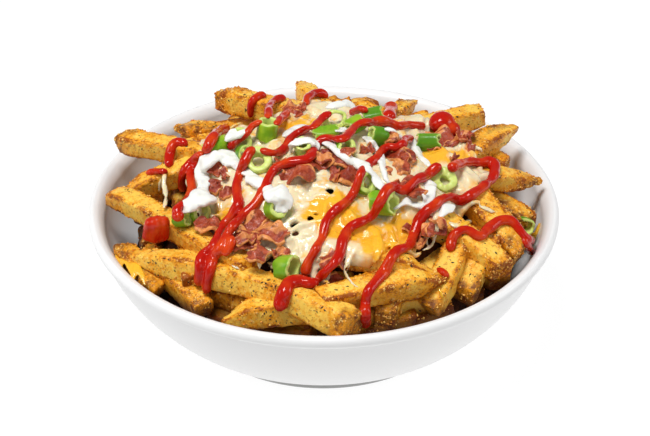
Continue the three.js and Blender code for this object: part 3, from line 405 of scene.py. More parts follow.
def grain(points, size, seed):
    """Soft random field between 0 and 1 with lumps of the given size."""
    p = np.asarray(points, float) / size + 100.0
    cell = np.floor(p).astype(np.int64)
    f = p - cell
    f = f * f * (3 - 2 * f)
    total = np.zeros(len(p))
    for dx in (0, 1):
        wx = f[:, 0] if dx else 1 - f[:, 0]
        for dy in (0, 1):
            wy = f[:, 1] if dy else 1 - f[:, 1]
            for dz in (0, 1):
                wz = f[:, 2] if dz else 1 - f[:, 2]
                value = lattice(cell[:, 0] + dx, cell[:, 1] + dy, cell[:, 2] + dz, seed)
                total += wx * wy * wz * value
    return total


def bumps(points, size, seed):
    return grain(points, size, seed) - 0.5


def boxy(wave, power):
    """Pulls a sine or cosine towards a square wave, for sections with worn corners."""
    return np.sign(wave) * np.abs(wave) ** power


# Curves of the bowl and the heap
def belly(a):
    """Shares of the way out and down at an angle on the bowl's curve."""
    return np.sin(np.radians(a)) ** (4 / 3), np.cos(np.radians(a)) ** (4 / 3)


def outer_skin(a):
    s, c = belly(a)
    return FOOT_R + (BODY_R - FOOT_R) * s, BODY_H - (BODY_H - FOOT_H) * c


def inner_skin(a, off=0.0):
    s, c = belly(a)
    r = FOOT_R - WALL + (BODY_R - FOOT_R) * s - off
    return r, BODY_H - (BODY_H - FLOOR_TOP) * c + off * 0.7


def circle(count):
    return np.linspace(0, TURN, count, endpoint=False)


def ring_of(radius, turn, height):
    """Level row of points round the Z axis."""
    return np.stack([radius * np.cos(turn), radius * np.sin(turn), height * np.ones(len(turn))], axis=1)


def dome(r):
    return BOWL_H + DOME_RISE * (1 - (np.asarray(r) / DOME_R) ** 2.2)


def cheese_edge(azimuth):
    """Radius of the cheese outline for azimuths in degrees."""
    first = CHEESE_EDGE[0][0]
    a = (np.asarray(azimuth, float) - first) % 360 + first
    turns = np.array([row[0] for row in CHEESE_EDGE] + [first + 360], float)
    radii = np.array([row[1] for row in CHEESE_EDGE] + [CHEESE_EDGE[0][1]], float)
    i = np.clip(np.searchsorted(turns, a, side="right") - 1, 0, len(CHEESE_EDGE) - 1)
    t = (a - turns[i]) / (turns[i + 1] - turns[i])
    edge = radii[i] + (radii[i + 1] - radii[i]) * t * t * (3 - 2 * t)
    return edge + 1.2 * np.sin(7 * np.radians(a) + 1)


def cheese_top(x, y):
    """Height of the melted surface: the dome, its lumps and the ridges of the fries under it."""
    x = np.asarray(x, float)
    y = np.asarray(y, float)
    z = dome(np.hypot(x, y)) + 1.1 * np.sin(x / 9 + 1) * np.cos(y / 8) + 0.6 * np.sin(x / 4.7 + y / 6.1)
    for x0, y0, z0, x1, y1, z1, thick, bow, _, _ in TOP_FRIES:
        dx, dy = x1 - x0, y1 - y0
        t = ((x - x0) * dx + (y - y0) * dy) / (dx * dx + dy * dy)
        off = np.abs((x - x0) * dy - (y - y0) * dx) / math.hypot(dx, dy)
        h = thick / 2
        crest = z0 + (z1 - z0) * t + 4 * bow * t * (1 - t) + h + 1.4
        fall = np.where(off < h, 0.0, (off - h) * 1.5)
        ridge = crest - fall - 3 * smooth(0.98, 1.1, t)
        inside = (t >= -0.05) & (t <= 1.1) & (off <= h * 1.9)
        z = np.where(inside, np.maximum(z, ridge), z)
    return z


def core_top(r, s):
    sink = CORE_SINK + (CORE_SINK_OUTER - CORE_SINK) * smooth(0.96, 1.12, s)
    return dome(r) - sink


# Meshes in the making: vertices in millimetres, faces and named shades for each vertex
class Shape:
    def __init__(self):
        self.verts = []
        self.faces = []
        self.shades = {}
        self.count = 0

    def add(self, verts, faces, **shades):
        verts = np.asarray(verts, float)
        self.verts.append(verts)
        self.faces.extend([tuple(i + self.count for i in face) for face in faces])
        for name, values in shades.items():
            self.shades.setdefault(name, []).append(np.broadcast_to(np.asarray(values, float), len(verts)))
        self.count += len(verts)

    def object(self, name, material=None):
        mesh = bpy.data.meshes.new(name)
        mesh.from_pydata((np.concatenate(self.verts) * MM).tolist(), [], self.faces)
        for shade, parts in self.shades.items():
            write_shade(mesh, shade, np.concatenate(parts))
        mesh.validate()
        return linked(name, mesh, material)


def linked(name, mesh, material=None):
    mesh.shade_smooth()
    if material:
        mesh.materials.clear()
        mesh.materials.append(material)
    obj = bpy.data.objects.new(name, mesh)
    bpy.context.scene.collection.objects.link(obj)
    return obj


def grid_faces(rows, columns, close_rows=False):
    """Quads over rows of points; each row of points closes on itself."""
    faces = []
    for i in range(rows if close_rows else rows - 1):
        a = i * columns
        b = ((i + 1) % rows) * columns
        for j in range(columns):
            k = (j + 1) % columns
            faces.append((a + j, a + k, b + k, b + j))
    return faces


def tube_faces(rows, columns):
    """Quads over rows of points and a face over each end."""
    last = (rows - 1) * columns
    caps = [tuple(range(columns))[::-1], tuple(last + j for j in range(columns))]
    return grid_faces(rows, columns) + caps


def across(tangents):
    """Side and lift of a path at each of its points, square to the way it runs."""
    way = tangents / np.linalg.norm(tangents, axis=1, keepdims=True)
    side = np.cross([0.0, 0.0, 1.0], way)
    length = np.linalg.norm(side, axis=1, keepdims=True)
    side = np.where(length < 1e-3, [1.0, 0.0, 0.0], side / np.maximum(length, 1e-9))
    return side, np.cross(way, side)


def register_piece(obj, nodes):
    ease_under_top(obj.data)
    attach(obj, "root")
    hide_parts(*nodes)


def remeshed(name, parts, voxel, rounds, material):
    """Joins closed shapes into one skin of small cells and softens it."""
    source = parts.object(name + "_source")
    remesh = source.modifiers.new("Join", "REMESH")
    remesh.mode = "VOXEL"
    remesh.voxel_size = voxel
    soften = source.modifiers.new("Soften", "SMOOTH")
    soften.factor = 0.5
    soften.iterations = rounds
    graph = bpy.context.evaluated_depsgraph_get()
    mesh = bpy.data.meshes.new_from_object(source.evaluated_get(graph))
    bpy.data.objects.remove(source)
    mesh.name = name
    return linked(name, mesh, material)


def mesh_points(mesh):
    flat = np.empty(len(mesh.vertices) * 3, np.float32)
    mesh.vertices.foreach_get("co", flat)
    return flat.reshape(-1, 3).astype(float) / MM


def move_points(mesh, points):
    mesh.vertices.foreach_set("co", (points * MM).astype(np.float32).ravel())
    mesh.update()


def ruffle_surface(mesh, amount, size):
    """Moves each point a little so that an outline isn't a clean tube."""
    points = mesh_points(mesh)
    shift = np.stack([bumps(points, size, 90 + k) for k in range(3)], axis=1)
    move_points(mesh, points + shift * amount)


def ease_under_top(mesh):
    """Brings what rises past the heap's highest point back under it and keeps the order of the layers."""
    points = mesh_points(mesh)
    start = HEAP_TOP - EASE_DEPTH
    if points[:, 2].max() > start:
        points[:, 2] = np.where(points[:, 2] > start, start + EASE_SHARE * (points[:, 2] - start), points[:, 2])
        move_points(mesh, points)


def write_shade(mesh, name, values):
    layer = mesh.attributes.new(name, "FLOAT", "POINT")
    layer.data.foreach_set("value", np.asarray(values, np.float32))


# Materials: short helpers for node trees
class Paint:
    def __init__(self, name):
        self.material = bpy.data.materials.new(name)
        self.material.use_nodes = True
        self.tree = self.material.node_tree
        self.shader = self.tree.nodes["Principled BSDF"]
        self.place = self.node("ShaderNodeTexCoord", {}).outputs["Object"]

    def plug(self, socket, value):
        if isinstance(value, bpy.types.NodeSocket):
            self.tree.links.new(value, socket)
        else:
            socket.default_value = (*value[:3], 1.0) if socket.type == "RGBA" else value

    def node(self, kind, inputs, **settings):
        made = self.tree.nodes.new(kind)
        for key, value in settings.items():
            setattr(made, key, value)
        for key, value in inputs.items():
            self.plug(made.inputs[key], value)
        return made

    def noise(self, scale, detail=3.0, roughness=0.55, distortion=0.0):
        return self.node("ShaderNodeTexNoise", {
            "Scale": scale, "Detail": detail, "Roughness": roughness, "Distortion": distortion,
            "Vector": self.place}).outputs["Fac"]

    def shade(self, name):
        return self.node("ShaderNodeAttribute", {}, attribute_name=name).outputs["Fac"]

    def ramp(self, value, low, high):
        return self.node("ShaderNodeMapRange", {"From Min": low, "From Max": high, "Value": value},
                         interpolation_type="SMOOTHSTEP").outputs["Result"]

    def patches(self, low, high, *noise):
        return self.ramp(self.noise(*noise), low, high)

    def math(self, operation, a, b):
        return self.node("ShaderNodeMath", {0: a, 1: b}, operation=operation,
                         use_clamp=operation in ("ADD", "SUBTRACT")).outputs[0]

    def plus(self, a, b, share=1.0):
        """Sum of a and a share of b."""
        return self.math("ADD", a, b if share == 1.0 else self.math("MULTIPLY", b, share))

    def mix(self, share, a, b):
        return self.node("ShaderNodeMix", {0: share, 6: a, 7: b}, data_type="RGBA").outputs[2]

    def tint(self, colour, tone, mask, share):
        return self.mix(self.math("MULTIPLY", mask, share), colour, tone)

    def bump(self, strength, distance, *noise, before=None):
        sockets = {"Strength": strength, "Distance": distance, "Height": self.noise(*noise)}
        if before is not None:
            sockets["Normal"] = before
        return self.node("ShaderNodeBump", sockets).outputs["Normal"]

    def finish(self, colour, normal=None, **values):
        """Sets the shader's sockets and hands the material over."""
        values["Base_Color"] = colour
        if normal is not None:
            values["Normal"] = normal
        for key, value in values.items():
            self.plug(self.shader.inputs[key.replace("_", " ")], value)
        return self.material


SPICE_TONE = (0.38, 0.070, 0.004)
STARCH_TONE = (0.97, 0.70, 0.24)
# Painted shade: near black brown given to fries deep in the heap, standing for the shade between them.
DEEP_SHADE_TONE = (0.085, 0.015, 0.001)
TOASTED_TONE = (0.76, 0.38, 0.09)
CHAR_TONE = (0.11, 0.012, 0.004)


def colours():
    return bpy.context.scene.fries_colours


def glaze_paint():
    paint = Paint("white_glaze")
    # Painted shade: the foot ring is coloured dark grey in place of the white glaze, standing for the shade at the
    # bowl's base.
    colour = paint.mix(paint.shade("foot"), colours().glaze, (0.36, 0.36, 0.35))
    return paint.finish(colour, Roughness=0.34, IOR=1.45, Coat_Weight=0.08, Coat_Roughness=0.18)


def fry_paint():
    paint = Paint("fried_potato")
    c = colours()
    # The browning value holds real browning of edges and ends and, on each fry's underside, a little painted shade.
    amount = paint.plus(paint.shade("browning"), paint.patches(0.36, 0.70, 120.0, 4.0, 0.62), 0.37)
    amount = paint.plus(amount, paint.patches(0.42, 0.66, 560.0, 4.0, 0.7), 0.38)
    colour = paint.mix(paint.ramp(amount, 0.12, 0.66), c.potato, c.gold)
    colour = paint.mix(paint.ramp(amount, 0.60, 1.08), colour, c.crust)
    mottled = paint.mix(paint.patches(0.36, 0.64, 260.0, 4.0, 0.7), c.skin, c.gold)
    colour = paint.mix(paint.shade("skin"), colour, mottled)
    colour = paint.tint(colour, SPICE_TONE, paint.patches(0.57, 0.67, 760.0, 2.0, 0.5), 0.52)
    colour = paint.tint(colour, STARCH_TONE, paint.patches(0.62, 0.72, 640.0, 2.0, 0.5, 0.4), 0.70)
    # Painted shade: fries deep under the heap's top are darkened towards the deep shade tone.
    colour = paint.tint(colour, DEEP_SHADE_TONE, paint.shade("deep"), 0.86)
    coarse = paint.bump(0.65, 0.0009, 380.0, 5.0, 0.72)
    return paint.finish(
        colour, paint.bump(0.6, 0.0005, 1300.0, 3.0, 0.7, before=coarse), Roughness=0.30, IOR=1.38,
        Specular_IOR_Level=0.38, Subsurface_Weight=0.06, Subsurface_Radius=(0.8, 0.30, 0.08),
        Subsurface_Scale=0.003)


def core_paint():
    paint = Paint("fries_in_the_shade")
    # Painted shade: the core's colour is a near black brown, standing for the shade deep inside the heap.
    colour = paint.mix(paint.patches(0.35, 0.7, 160.0), (0.020, 0.004, 0.001), (0.10, 0.024, 0.002))
    return paint.finish(colour, paint.bump(0.8, 0.002, 300.0, 4.0), Roughness=0.7, Specular_IOR_Level=0.2)


def cheese_paint():
    paint = Paint("melted_cheese")
    c = colours()
    marble = paint.math("SUBTRACT", paint.noise(105.0, 4.0, 0.6, 2.2), 0.5)
    amount = paint.ramp(paint.plus(paint.shade("yellow"), marble), 0.26, 0.78)
    colour = paint.mix(amount, c.pale_cheese, c.yellow_cheese)
    colour = paint.tint(colour, TOASTED_TONE, paint.patches(0.58, 0.78, 190.0, 4.0, 0.6, 1.0), 0.42)
    coarse = paint.bump(0.5, 0.0014, 170.0, 4.0, 0.55, 0.8)
    return paint.finish(
        colour, paint.bump(0.15, 0.0003, 700.0, 3.0, 0.6, before=coarse), Roughness=0.18, IOR=1.42,
        Specular_IOR_Level=0.5, Coat_Weight=0.40, Coat_Roughness=0.07, Subsurface_Weight=0.25,
        Subsurface_Radius=(1.0, 0.55, 0.20), Subsurface_Scale=0.004)


def ketchup_paint():
    paint = Paint("ketchup")
    colour = paint.mix(paint.patches(0.42, 0.74, 90.0), colours().ketchup, (0.64, 0.055, 0.006))
    return paint.finish(
        colour, paint.bump(0.15, 0.0005, 420.0), Roughness=0.22, IOR=1.34, Specular_IOR_Level=0.20,
        Coat_Weight=0.38, Coat_Roughness=0.04, Subsurface_Weight=0.12, Subsurface_Radius=(1.0, 0.10, 0.03),
        Subsurface_Scale=0.002)


def cream_paint():
    paint = Paint("sour_cream")
    return paint.finish(
        colours().sour_cream, paint.bump(0.2, 0.0007, 400.0), Roughness=0.25, IOR=1.38, Specular_IOR_Level=0.45,
        Subsurface_Weight=0.25, Subsurface_Radius=(1.0, 0.9, 0.7), Subsurface_Scale=0.002)


def onion_paint():
    paint = Paint("green_onion")
    c = colours()
    fibre = paint.math("SUBTRACT", paint.noise(420.0), 0.5)
    amount = paint.plus(paint.shade("inside"), fibre, 0.5)
    green = paint.mix(paint.patches(0.32, 0.66, 200.0), c.onion_green, (0.35, 0.53, 0.022))
    green = paint.mix(paint.shade("dark"), green, (0.045, 0.20, 0.010))
    colour = paint.mix(paint.ramp(amount, 0.22, 0.85), green, c.onion_pale)
    return paint.finish(
        colour, paint.bump(0.25, 0.0005, 600.0), Roughness=0.28, IOR=1.4, Specular_IOR_Level=0.4,
        Subsurface_Weight=0.2, Subsurface_Radius=(0.6, 1.0, 0.2), Subsurface_Scale=0.002)


def bacon_paint():
    paint = Paint("crisp_bacon")
    c = colours()
    streak = paint.math("SUBTRACT", paint.noise(170.0, 4.0, 0.6, 1.2), 0.50)
    amount = paint.plus(paint.shade("fat"), streak)
    lean = paint.mix(paint.patches(0.36, 0.66, 210.0, 4.0, 0.6, 0.8), c.lean, (0.49, 0.092, 0.036))
    colour = paint.mix(paint.ramp(amount, 0.24, 0.66), lean, c.fat)
    colour = paint.tint(colour, CHAR_TONE, paint.patches(0.50, 0.68, 300.0, 4.0, 0.65), 0.7)
    return paint.finish(
        colour, paint.bump(0.8, 0.0011, 360.0, 5.0, 0.65), Roughness=0.26, IOR=1.42, Specular_IOR_Level=0.45,
        Coat_Weight=0.15, Coat_Roughness=0.15)


# Bowl: one smooth turned skin
BOWL_TURNS = 192
BEAD_R = 2.1
BEAD_HALF_H = 2.6
BEAD_ANGLES = np.linspace(118, -75, 15)


def bowl_profile():
    """Radius and height of the section, from the inner middle round the rim to the underside."""
    curve = np.concatenate([np.linspace(0, 80, 17), np.linspace(82, 88, 4)])
    bead_r, bead_z = RIM_R - BEAD_R, BOWL_H - BEAD_HALF_H
    bead = [(bead_r + BEAD_R * math.cos(a), bead_z + BEAD_HALF_H * math.sin(a))
            for a in np.radians(BEAD_ANGLES)]
    lip = [(98.1, 53.2), (98.6, 54.4), (99.3, 55.6), (100.2, 56.7), (101.2, 57.5)]
    groove = [(BODY_R + 0.9, BODY_H - 0.1), (BODY_R + 0.2, BODY_H - 0.2)]
    foot = [(FOOT_R - 0.5, FOOT_H - 0.4), (FOOT_R - 0.8, FOOT_H - 1.4), (FOOT_R - 0.7, 1.2),
            (FOOT_R - 1.0, 0.4), (FOOT_R - 1.8, 0.0), (61.4, 0.0), (60.4, 0.4), (60.0, 1.2), (59.2, 3.4), (57.5, 4.0)]
    return [(0.0, FLOOR_TOP - 0.6), (30.0, FLOOR_TOP - 0.5), *zip(*inner_skin(curve)), *lip, *bead, *groove,
            *list(zip(*outer_skin(curve)))[::-1], *foot, (0.0, 4.4)]


def make_bowl():
    profile = bowl_profile()
    turn = circle(BOWL_TURNS)
    rows = [ring_of(r, turn, z) for r, z in profile[1:-1]]
    faces = grid_faces(len(rows), BOWL_TURNS)
    first = len(rows) * BOWL_TURNS
    last = first - BOWL_TURNS
    for j in range(BOWL_TURNS):
        k = (j + 1) % BOWL_TURNS
        faces += [(first, k, j), (first + 1, last + j, last + k)]
    ends = [(0.0, 0.0, profile[0][1]), (0.0, 0.0, profile[-1][1])]
    shape = Shape()
    points = np.concatenate(rows + [ends])
    # Painted shade: marks the points of the foot ring, which the glaze paints dark grey as the shade at the bowl's
    # base.
    foot = (points[:, 2] < FOOT_H - 0.2) & (np.hypot(points[:, 0], points[:, 1]) > 55)
    shape.add(points, faces, foot=foot.astype(float))
    register_piece(shape.object("glazed_bowl", glaze_paint()), ["bowl"])


# Fries: how many lie in each ring, and their sides and spacing of rings
LOW_COUNT = 14
BACK_COUNT = 6
DEEP_COUNT = 30
DEEP_BACK_COUNT = 11
TOP_DETAIL = (40, 0.85)
LOW_DETAIL = (28, 1.3)
DEEP_DETAIL = (24, 1.6)
FIRST_DEEP_SEED = 100

# Fries that close gaps over the core: azimuth, radius, half length, turn, height
GAP_FRIES = [
    (158, 79, 17, 90, 50.0), (172, 80, 14, 90, 48.0), (28, 80, 15, 90, 49.0), (74, 52, 16, 40, 67.5),
    (112, 53, 15, -50, 66.5), (141, 60, 14, 60, 63.0), (-162, 79, 13, 85, 43.5), (-116, 80, 14, 93, 42.5),
    (-100, 81, 11, 84, 42.0), (-73, 81, 14, 95, 42.5), (-58, 81, 12, 86, 42.5), (12, 76, 12, 80, 45.5),
    (-15, 79, 12, 95, 43.0),
]


def laid_fry(azimuth, r, half, turn, z, tilt, bow=0):
    dx, dy = math.cos(turn) * half, math.sin(turn) * half
    x, y = math.cos(azimuth) * r, math.sin(azimuth) * r
    skin = "tip" if draw(r, 3) > 0.6 else "none"
    return (x - dx, y - dy, z - tilt, x + dx, y + dy, z + tilt, FRY - 1, bow, "plain", skin)


def rule_fries():
    """Lower fries and the ones behind, laid round the bowl by rule in two rings."""
    rows = []
    for i in range(LOW_COUNT):
        wide = i % 2
        azimuth = math.radians(i * 360 / LOW_COUNT + 8 * draw(i, 1))
        r = 74 + 4 * draw(i, 2) if wide else 64 + 5 * draw(i, 2)
        half = (19 if wide else 27) + 5 * draw(i, 3)
        turn = azimuth + math.pi / 2 + math.radians((24 if wide else 44) * sway(i, 4))
        z = float(dome(r)) - 13.5 + 2 * draw(i, 5)
        rows.append(laid_fry(azimuth, r, half, turn, z, 6 * sway(i, 6)))
    for i in range(BACK_COUNT):
        azimuth = math.radians(42 + i * 19 + 8 * draw(i, 7))
        r = 66 + 8 * draw(i, 8)
        half = 24 + 6 * draw(i, 9)
        turn = azimuth + math.pi / 2 + math.radians(80 * sway(i, 10))
        z = float(dome(r)) - 8 - max(0.0, r * math.sin(azimuth) - 62) * 0.25
        rows.append(laid_fry(azimuth, r, half, turn, z, 0, bow=1))
    return rows


def filler_fries():
    """Fries deeper down, between the lower ones and the core."""
    rows = []
    for i in range(DEEP_COUNT):
        azimuth = math.radians(i * 12 + 9 * draw(i, 51))
        r = (65 if 95 < i * 12 < 125 else 68) + 6 * draw(i, 52)
        half = 14 + 7 * draw(i, 53)
        turn = azimuth + math.pi / 2 + math.radians(70 * sway(i, 54))
        z = 46 - 5 * draw(i, 55)
        rows.append(laid_fry(azimuth, r, half, turn, z, 5 * sway(i, 56)))
    for i in range(DEEP_BACK_COUNT):
        azimuth = math.radians(34 + i * 12 + 6 * draw(i, 61))
        r = 60 + 7 * draw(i, 62)
        turn = azimuth + math.pi / 2 + math.radians(70 * sway(i, 64))
        z = float(dome(r)) - 9.5 + 2 * draw(i, 65)
        rows.append(laid_fry(azimuth, r, 18 + 5 * draw(i, 63), turn, z, 8 * sway(i, 66)))
    for azimuth, r, half, turn, z in GAP_FRIES:
        azimuth = math.radians(azimuth)
        rows.append(laid_fry(azimuth, r, half, azimuth + math.radians(turn), z, 1.5))
    return rows


def fry_spine(row, seed, along):
    """Middle line of a fry at the given runs: its place, side, lift, way and half sizes."""
    x0, y0, z0, x1, y1, z1, thick, bow, tip, _ = row
    a, b = np.array([x0, y0, z0], float), np.array([x1, y1, z1], float)
    middle = (a + b) / 2 + [0, 0, bow * 2]
    length = float(np.linalg.norm(b - a))
    t = along / length
    tt = t[:, None]
    centre = (1 - tt) ** 2 * a + 2 * tt * (1 - tt) * middle + tt ** 2 * b
    tangent = 2 * (1 - tt) * (middle - a) + 2 * tt * (b - middle)
    side, lift = across(tangent)
    way = tangent / np.linalg.norm(tangent, axis=1, keepdims=True)
    bend = (0.9 * np.sin(along / 19.0 + 6 * draw(seed, 46))
            * smooth(0, 10, along) * smooth(0, 10, length - along))
    centre = centre + side * bend[:, None]
    roll = math.radians(16 * sway(seed, 20)) + math.radians(14) * sway(seed, 47) * (t - 0.5)
    roll = roll[:, None]
    side, lift = (side * np.cos(roll) + lift * np.sin(roll), lift * np.cos(roll) - side * np.sin(roll))
    beat = np.stack([along / 15.0, np.full_like(along, seed * 3.7), np.zeros_like(along)], axis=1)
    w = thick / 2 * (0.95 + 0.18 * bumps(beat, 1.0, seed))
    h = thick / 2 * (0.95 + 0.18 * bumps(beat, 1.0, seed + 31))
    if tip == "point":
        w = w * (0.40 + 0.60 * smooth(-0.02, 0.24, t))
        h = h * (0.28 + 0.72 * smooth(-0.02, 0.28, t))
    w, h = w * (0.86 + 0.14 * smooth(0, 7, along)), h * (0.86 + 0.14 * smooth(0, 7, along))
    return centre, side, lift, way, w, h


def fry_length(row):
    return math.dist(row[0:3], row[3:6])


def section_of(around, power):
    """Section of a cut stick: a square with worn corners."""
    turn = circle(around) + math.pi / around
    return boxy(np.cos(turn), 2 / power), boxy(np.sin(turn), 2 / power)


def spread_out(centre, side, lift, u, v):
    """Places of a section at each point of a middle line."""
    return centre[:, None, :] + side[:, None, :] * u[..., None] + lift[:, None, :] * v[..., None]


# Rings near each end of a fry: run from the end and share of the full section
CAP_RUN = np.array([0.0, 0.0, 0.0, 0.1, 0.5, 1.2])
CAP_SCALE = np.array([0.03, 0.4, 0.72, 0.9, 0.97, 1.0])


def add_fry(shape, row, seed, around, spacing):
    """One cut stick: flat faces, worn edges, uneven along its length, with a shaped tip."""
    length = fry_length(row)
    body = np.arange(CAP_RUN[-1] + spacing, length - CAP_RUN[-1] - spacing * 0.5, spacing)
    along = np.concatenate([CAP_RUN, body, length - CAP_RUN[::-1]])
    scale = np.concatenate([CAP_SCALE, np.ones(len(body)), CAP_SCALE[::-1]])
    rings = len(along)
    centre, side, lift, way, w, h = fry_spine(row, seed, along)
    cu, cv = section_of(around, 5.0 + 2.5 * draw(seed, 48))
    wedge = 0.22 * sway(seed, 49)
    u = (w * scale)[:, None] * (cu * (1 + wedge * cv))[None, :]
    v = (h * scale)[:, None] * cv[None, :]
    cut_u, cut_v = 0.9 * sway(seed, 41), 0.9 * sway(seed, 42)
    near = np.where(along / length < 0.5, np.exp(-along / 6.0), -np.exp(-(length - along) / 6.0))
    slant = near[:, None] * (cut_u * u + cut_v * v)
    flat = (spread_out(centre, side, lift, u, v) + way[:, None, :] * slant[..., None]).reshape(-1, 3)
    out = (side[:, None, :] * cu[None, :, None] + lift[:, None, :] * cv[None, :, None]).reshape(-1, 3)
    out /= np.linalg.norm(out, axis=1, keepdims=True)
    corner = np.tile(smooth(0.50, 0.80, np.abs(cu * cv)), rings)
    lumps = 0.9 * bumps(flat, 9.0, seed) + 0.5 * bumps(flat, 3.4, seed + 5)
    lumps += (0.28 + 0.50 * corner) * bumps(flat, 1.3, seed + 9)
    flat = flat + out * (lumps * np.repeat(np.clip(scale, 0.3, 1), around))[:, None]
    ends = np.repeat(np.maximum(np.exp(-along / 4.5), np.exp(-(length - along) / 3.5)), around)
    broken = grain(flat, 2.4, seed + 8)
    brown_and_shade = 0.48 * corner * (0.35 + 1.3 * broken) * (0.6 + 0.8 * grain(flat, 12.0, seed + 12))
    brown_and_shade += 0.55 * ends * (0.4 + 1.2 * broken) + 0.80 * bumps(flat, 10.0, seed + 3)
    brown_and_shade += 0.40 * bumps(flat, 3.0, seed + 4) + 0.16 * (draw(seed, 44) - 0.6)
    # Painted shade: the underside of each fry is made a little browner, standing for the shade under it.
    brown_and_shade += 0.06 * (1 - np.tile(cv, rings))
    # Painted shade: the deep value grows with depth under the dome of the heap and darkens the fry there.
    ceiling = np.maximum(dome(np.hypot(flat[:, 0], flat[:, 1])), BOWL_H)
    shape.add(flat, tube_faces(rings, around), browning=np.clip(brown_and_shade, 0, 1),
              skin=skin_share(row[9], flat, seed, along, length, cu),
              deep=smooth(5.5, 12.5, ceiling - flat[:, 2]))


def skin_share(kind, flat, seed, along, length, cu):
    """Where a fry still has its potato skin: at its tip, its inner end, along one side or nowhere."""
    if kind == "none":
        return np.zeros(len(flat))
    face = np.tile(cu * (1 if draw(seed, 45) > 0.5 else -1), len(along))
    reach = {
        "tip": np.exp(-along / 9.0),
        "inner": np.exp(-(length - along) / 7.0),
        "side": np.full_like(along, 0.62),
    }[kind]
    reach = np.repeat(reach, len(cu))
    return smooth(0.45, 0.62, reach * 0.9 + 0.25 * bumps(flat, 4.0, seed + 6) + 0.28 * (face > 0.4) - 0.12)


def make_fries():
    paint = fry_paint()
    top = Shape()
    for i, row in enumerate(TOP_FRIES):
        add_fry(top, row, i + 1, *TOP_DETAIL)
    lower = Shape()
    for i, row in enumerate(rule_fries()):
        add_fry(lower, row, len(TOP_FRIES) + i + 1, *LOW_DETAIL)
    for i, row in enumerate(filler_fries()):
        add_fry(lower, row, FIRST_DEEP_SEED + i, *DEEP_DETAIL)
    for name, shape in (("fries_on_top", top), ("fries_below", lower)):
        register_piece(shape.object(name, paint), ["fries_heap"])


CORE_TURNS = 96
CORE_SKIRT = 1.12


def make_core():
    """Dark ground of the heap, under the fries and the cheese, painted near black as the shade among them."""
    turn = circle(CORE_TURNS)
    edge = cheese_edge(np.degrees(turn))
    wall_r, wall_z = inner_skin(50, 1.3)
    skirt = edge * CORE_SKIRT
    between = (skirt + wall_r) / 2
    profile = [inner_skin(a, 0.9) for a in (0, 16, 33, 48)]
    profile += [
        (wall_r, wall_z),
        (between, np.maximum(wall_z + 4, dome(between) - CORE_SINK_OUTER - 1)),
        (skirt, dome(skirt) - CORE_SINK_OUTER),
    ]
    profile += [(edge * s, core_top(edge * s, s) - 0.5) for s in (1.0, 0.9, 0.75, 0.6, 0.45, 0.3, 0.15)]
    shape = Shape()
    shape.add(np.concatenate([ring_of(r, turn, z) for r, z in profile]), tube_faces(len(profile), CORE_TURNS))
    register_piece(shape.object("heap_core", core_paint()), ["fries_heap"])


# Melted cheese
CHEESE_CELL = 1.2
SHREDS = 420
SHRED_POINTS = 14
SHRED_SIDES = 8
TINT_REACH = 2.6
YELLOW_PATCHES = [
    (2, -49, 13), (-2, -43, 9), (8, -53, 12), (19, -55, 12), (29, -58, 13), (12, -48, 10), (8, -41, 9), (22, -64, 12),
    (-42, -37, 9), (-9, 16, 12), (-18, 14, 9), (51, 4, 11), (46, -3, 9), (94, -6, 14), (-82, -49, 30), (62, 8, 8),
    (34, -46, 10), (48, -73, 8), (60, -44, 7), (68, -20, 8), (-70, 0, 5), (76, -30, 6),
]
HOLES = [(4, -31, 3.2), (-13, -52, 3.4), (-4, -47, 2.4), (-20, -62, 3.6), (20, -64, 3.0), (34, -60, 5.0),
         (-22, -34, 2.6), (40, 12, 3.4), (52, 34, 5.0), (-52, -52, 5.0), (58, -38, 3.4)]


def cheese_surface(x, y):
    p = np.stack([x, y, np.zeros_like(x)], axis=1)
    z = cheese_top(x, y) - 0.9
    z += 2.2 * bumps(p, 7.0, 3) + 1.4 * bumps(p, 3.2, 4)
    return z


def plate_faces(kept):
    """Faces of a plate of grid points: top and underside where four corners are kept, and its edges."""
    index = np.arange(kept.size).reshape(kept.shape)
    cell = kept[:-1, :-1] & kept[1:, :-1] & kept[1:, 1:] & kept[:-1, 1:]
    quads = np.stack([index[:-1, :-1], index[1:, :-1], index[1:, 1:], index[:-1, 1:]], axis=-1)[cell]
    faces = [tuple(q) for q in quads.tolist()] + [tuple(q[::-1]) for q in (quads + kept.size).tolist()]
    edges = {}
    for q in quads.tolist():
        for e in range(4):
            pair = (q[e], q[(e + 1) % 4])
            if pair[::-1] in edges:
                del edges[pair[::-1]]
            else:
                edges[pair] = True
    return faces + [(b, a, a + kept.size, b + kept.size) for a, b in edges]


def add_blanket(parts, thick):
    """Sheet of melted cheese with a ragged edge and holes."""
    span = np.arange(-80, 82, CHEESE_CELL)
    gx, gy = np.meshgrid(span, span, indexing="ij")
    x, y = gx.ravel(), gy.ravel()
    r = np.hypot(x, y)
    edge = cheese_edge(np.degrees(np.arctan2(y, x)))
    p = np.stack([x, y, np.zeros_like(x)], axis=1)
    ragged = edge - 3 + 7.0 * bumps(p, 9.0, 7) + 6 * bumps(p, 4.0, 8)
    keep = r < ragged
    for hx, hy, hr in HOLES:
        keep &= np.hypot(x - hx, y - hy) > hr * (0.55 + 0.8 * grain(p, 2.4, 11))
    rim = smooth(0.0, 6.0, ragged - r)
    z = cheese_surface(x, y) - 1.6 * (1 - rim)
    lower = z - thick * (0.35 + 0.65 * rim)
    faces = plate_faces(keep.reshape(gx.shape))
    layers = np.concatenate([np.stack([x, y, z], axis=1), np.stack([x, y, lower], axis=1)])
    used = sorted({i for face in faces for i in face})
    renumber = {old: new for new, old in enumerate(used)}
    parts.add(layers[used], [tuple(renumber[i] for i in face) for face in faces])


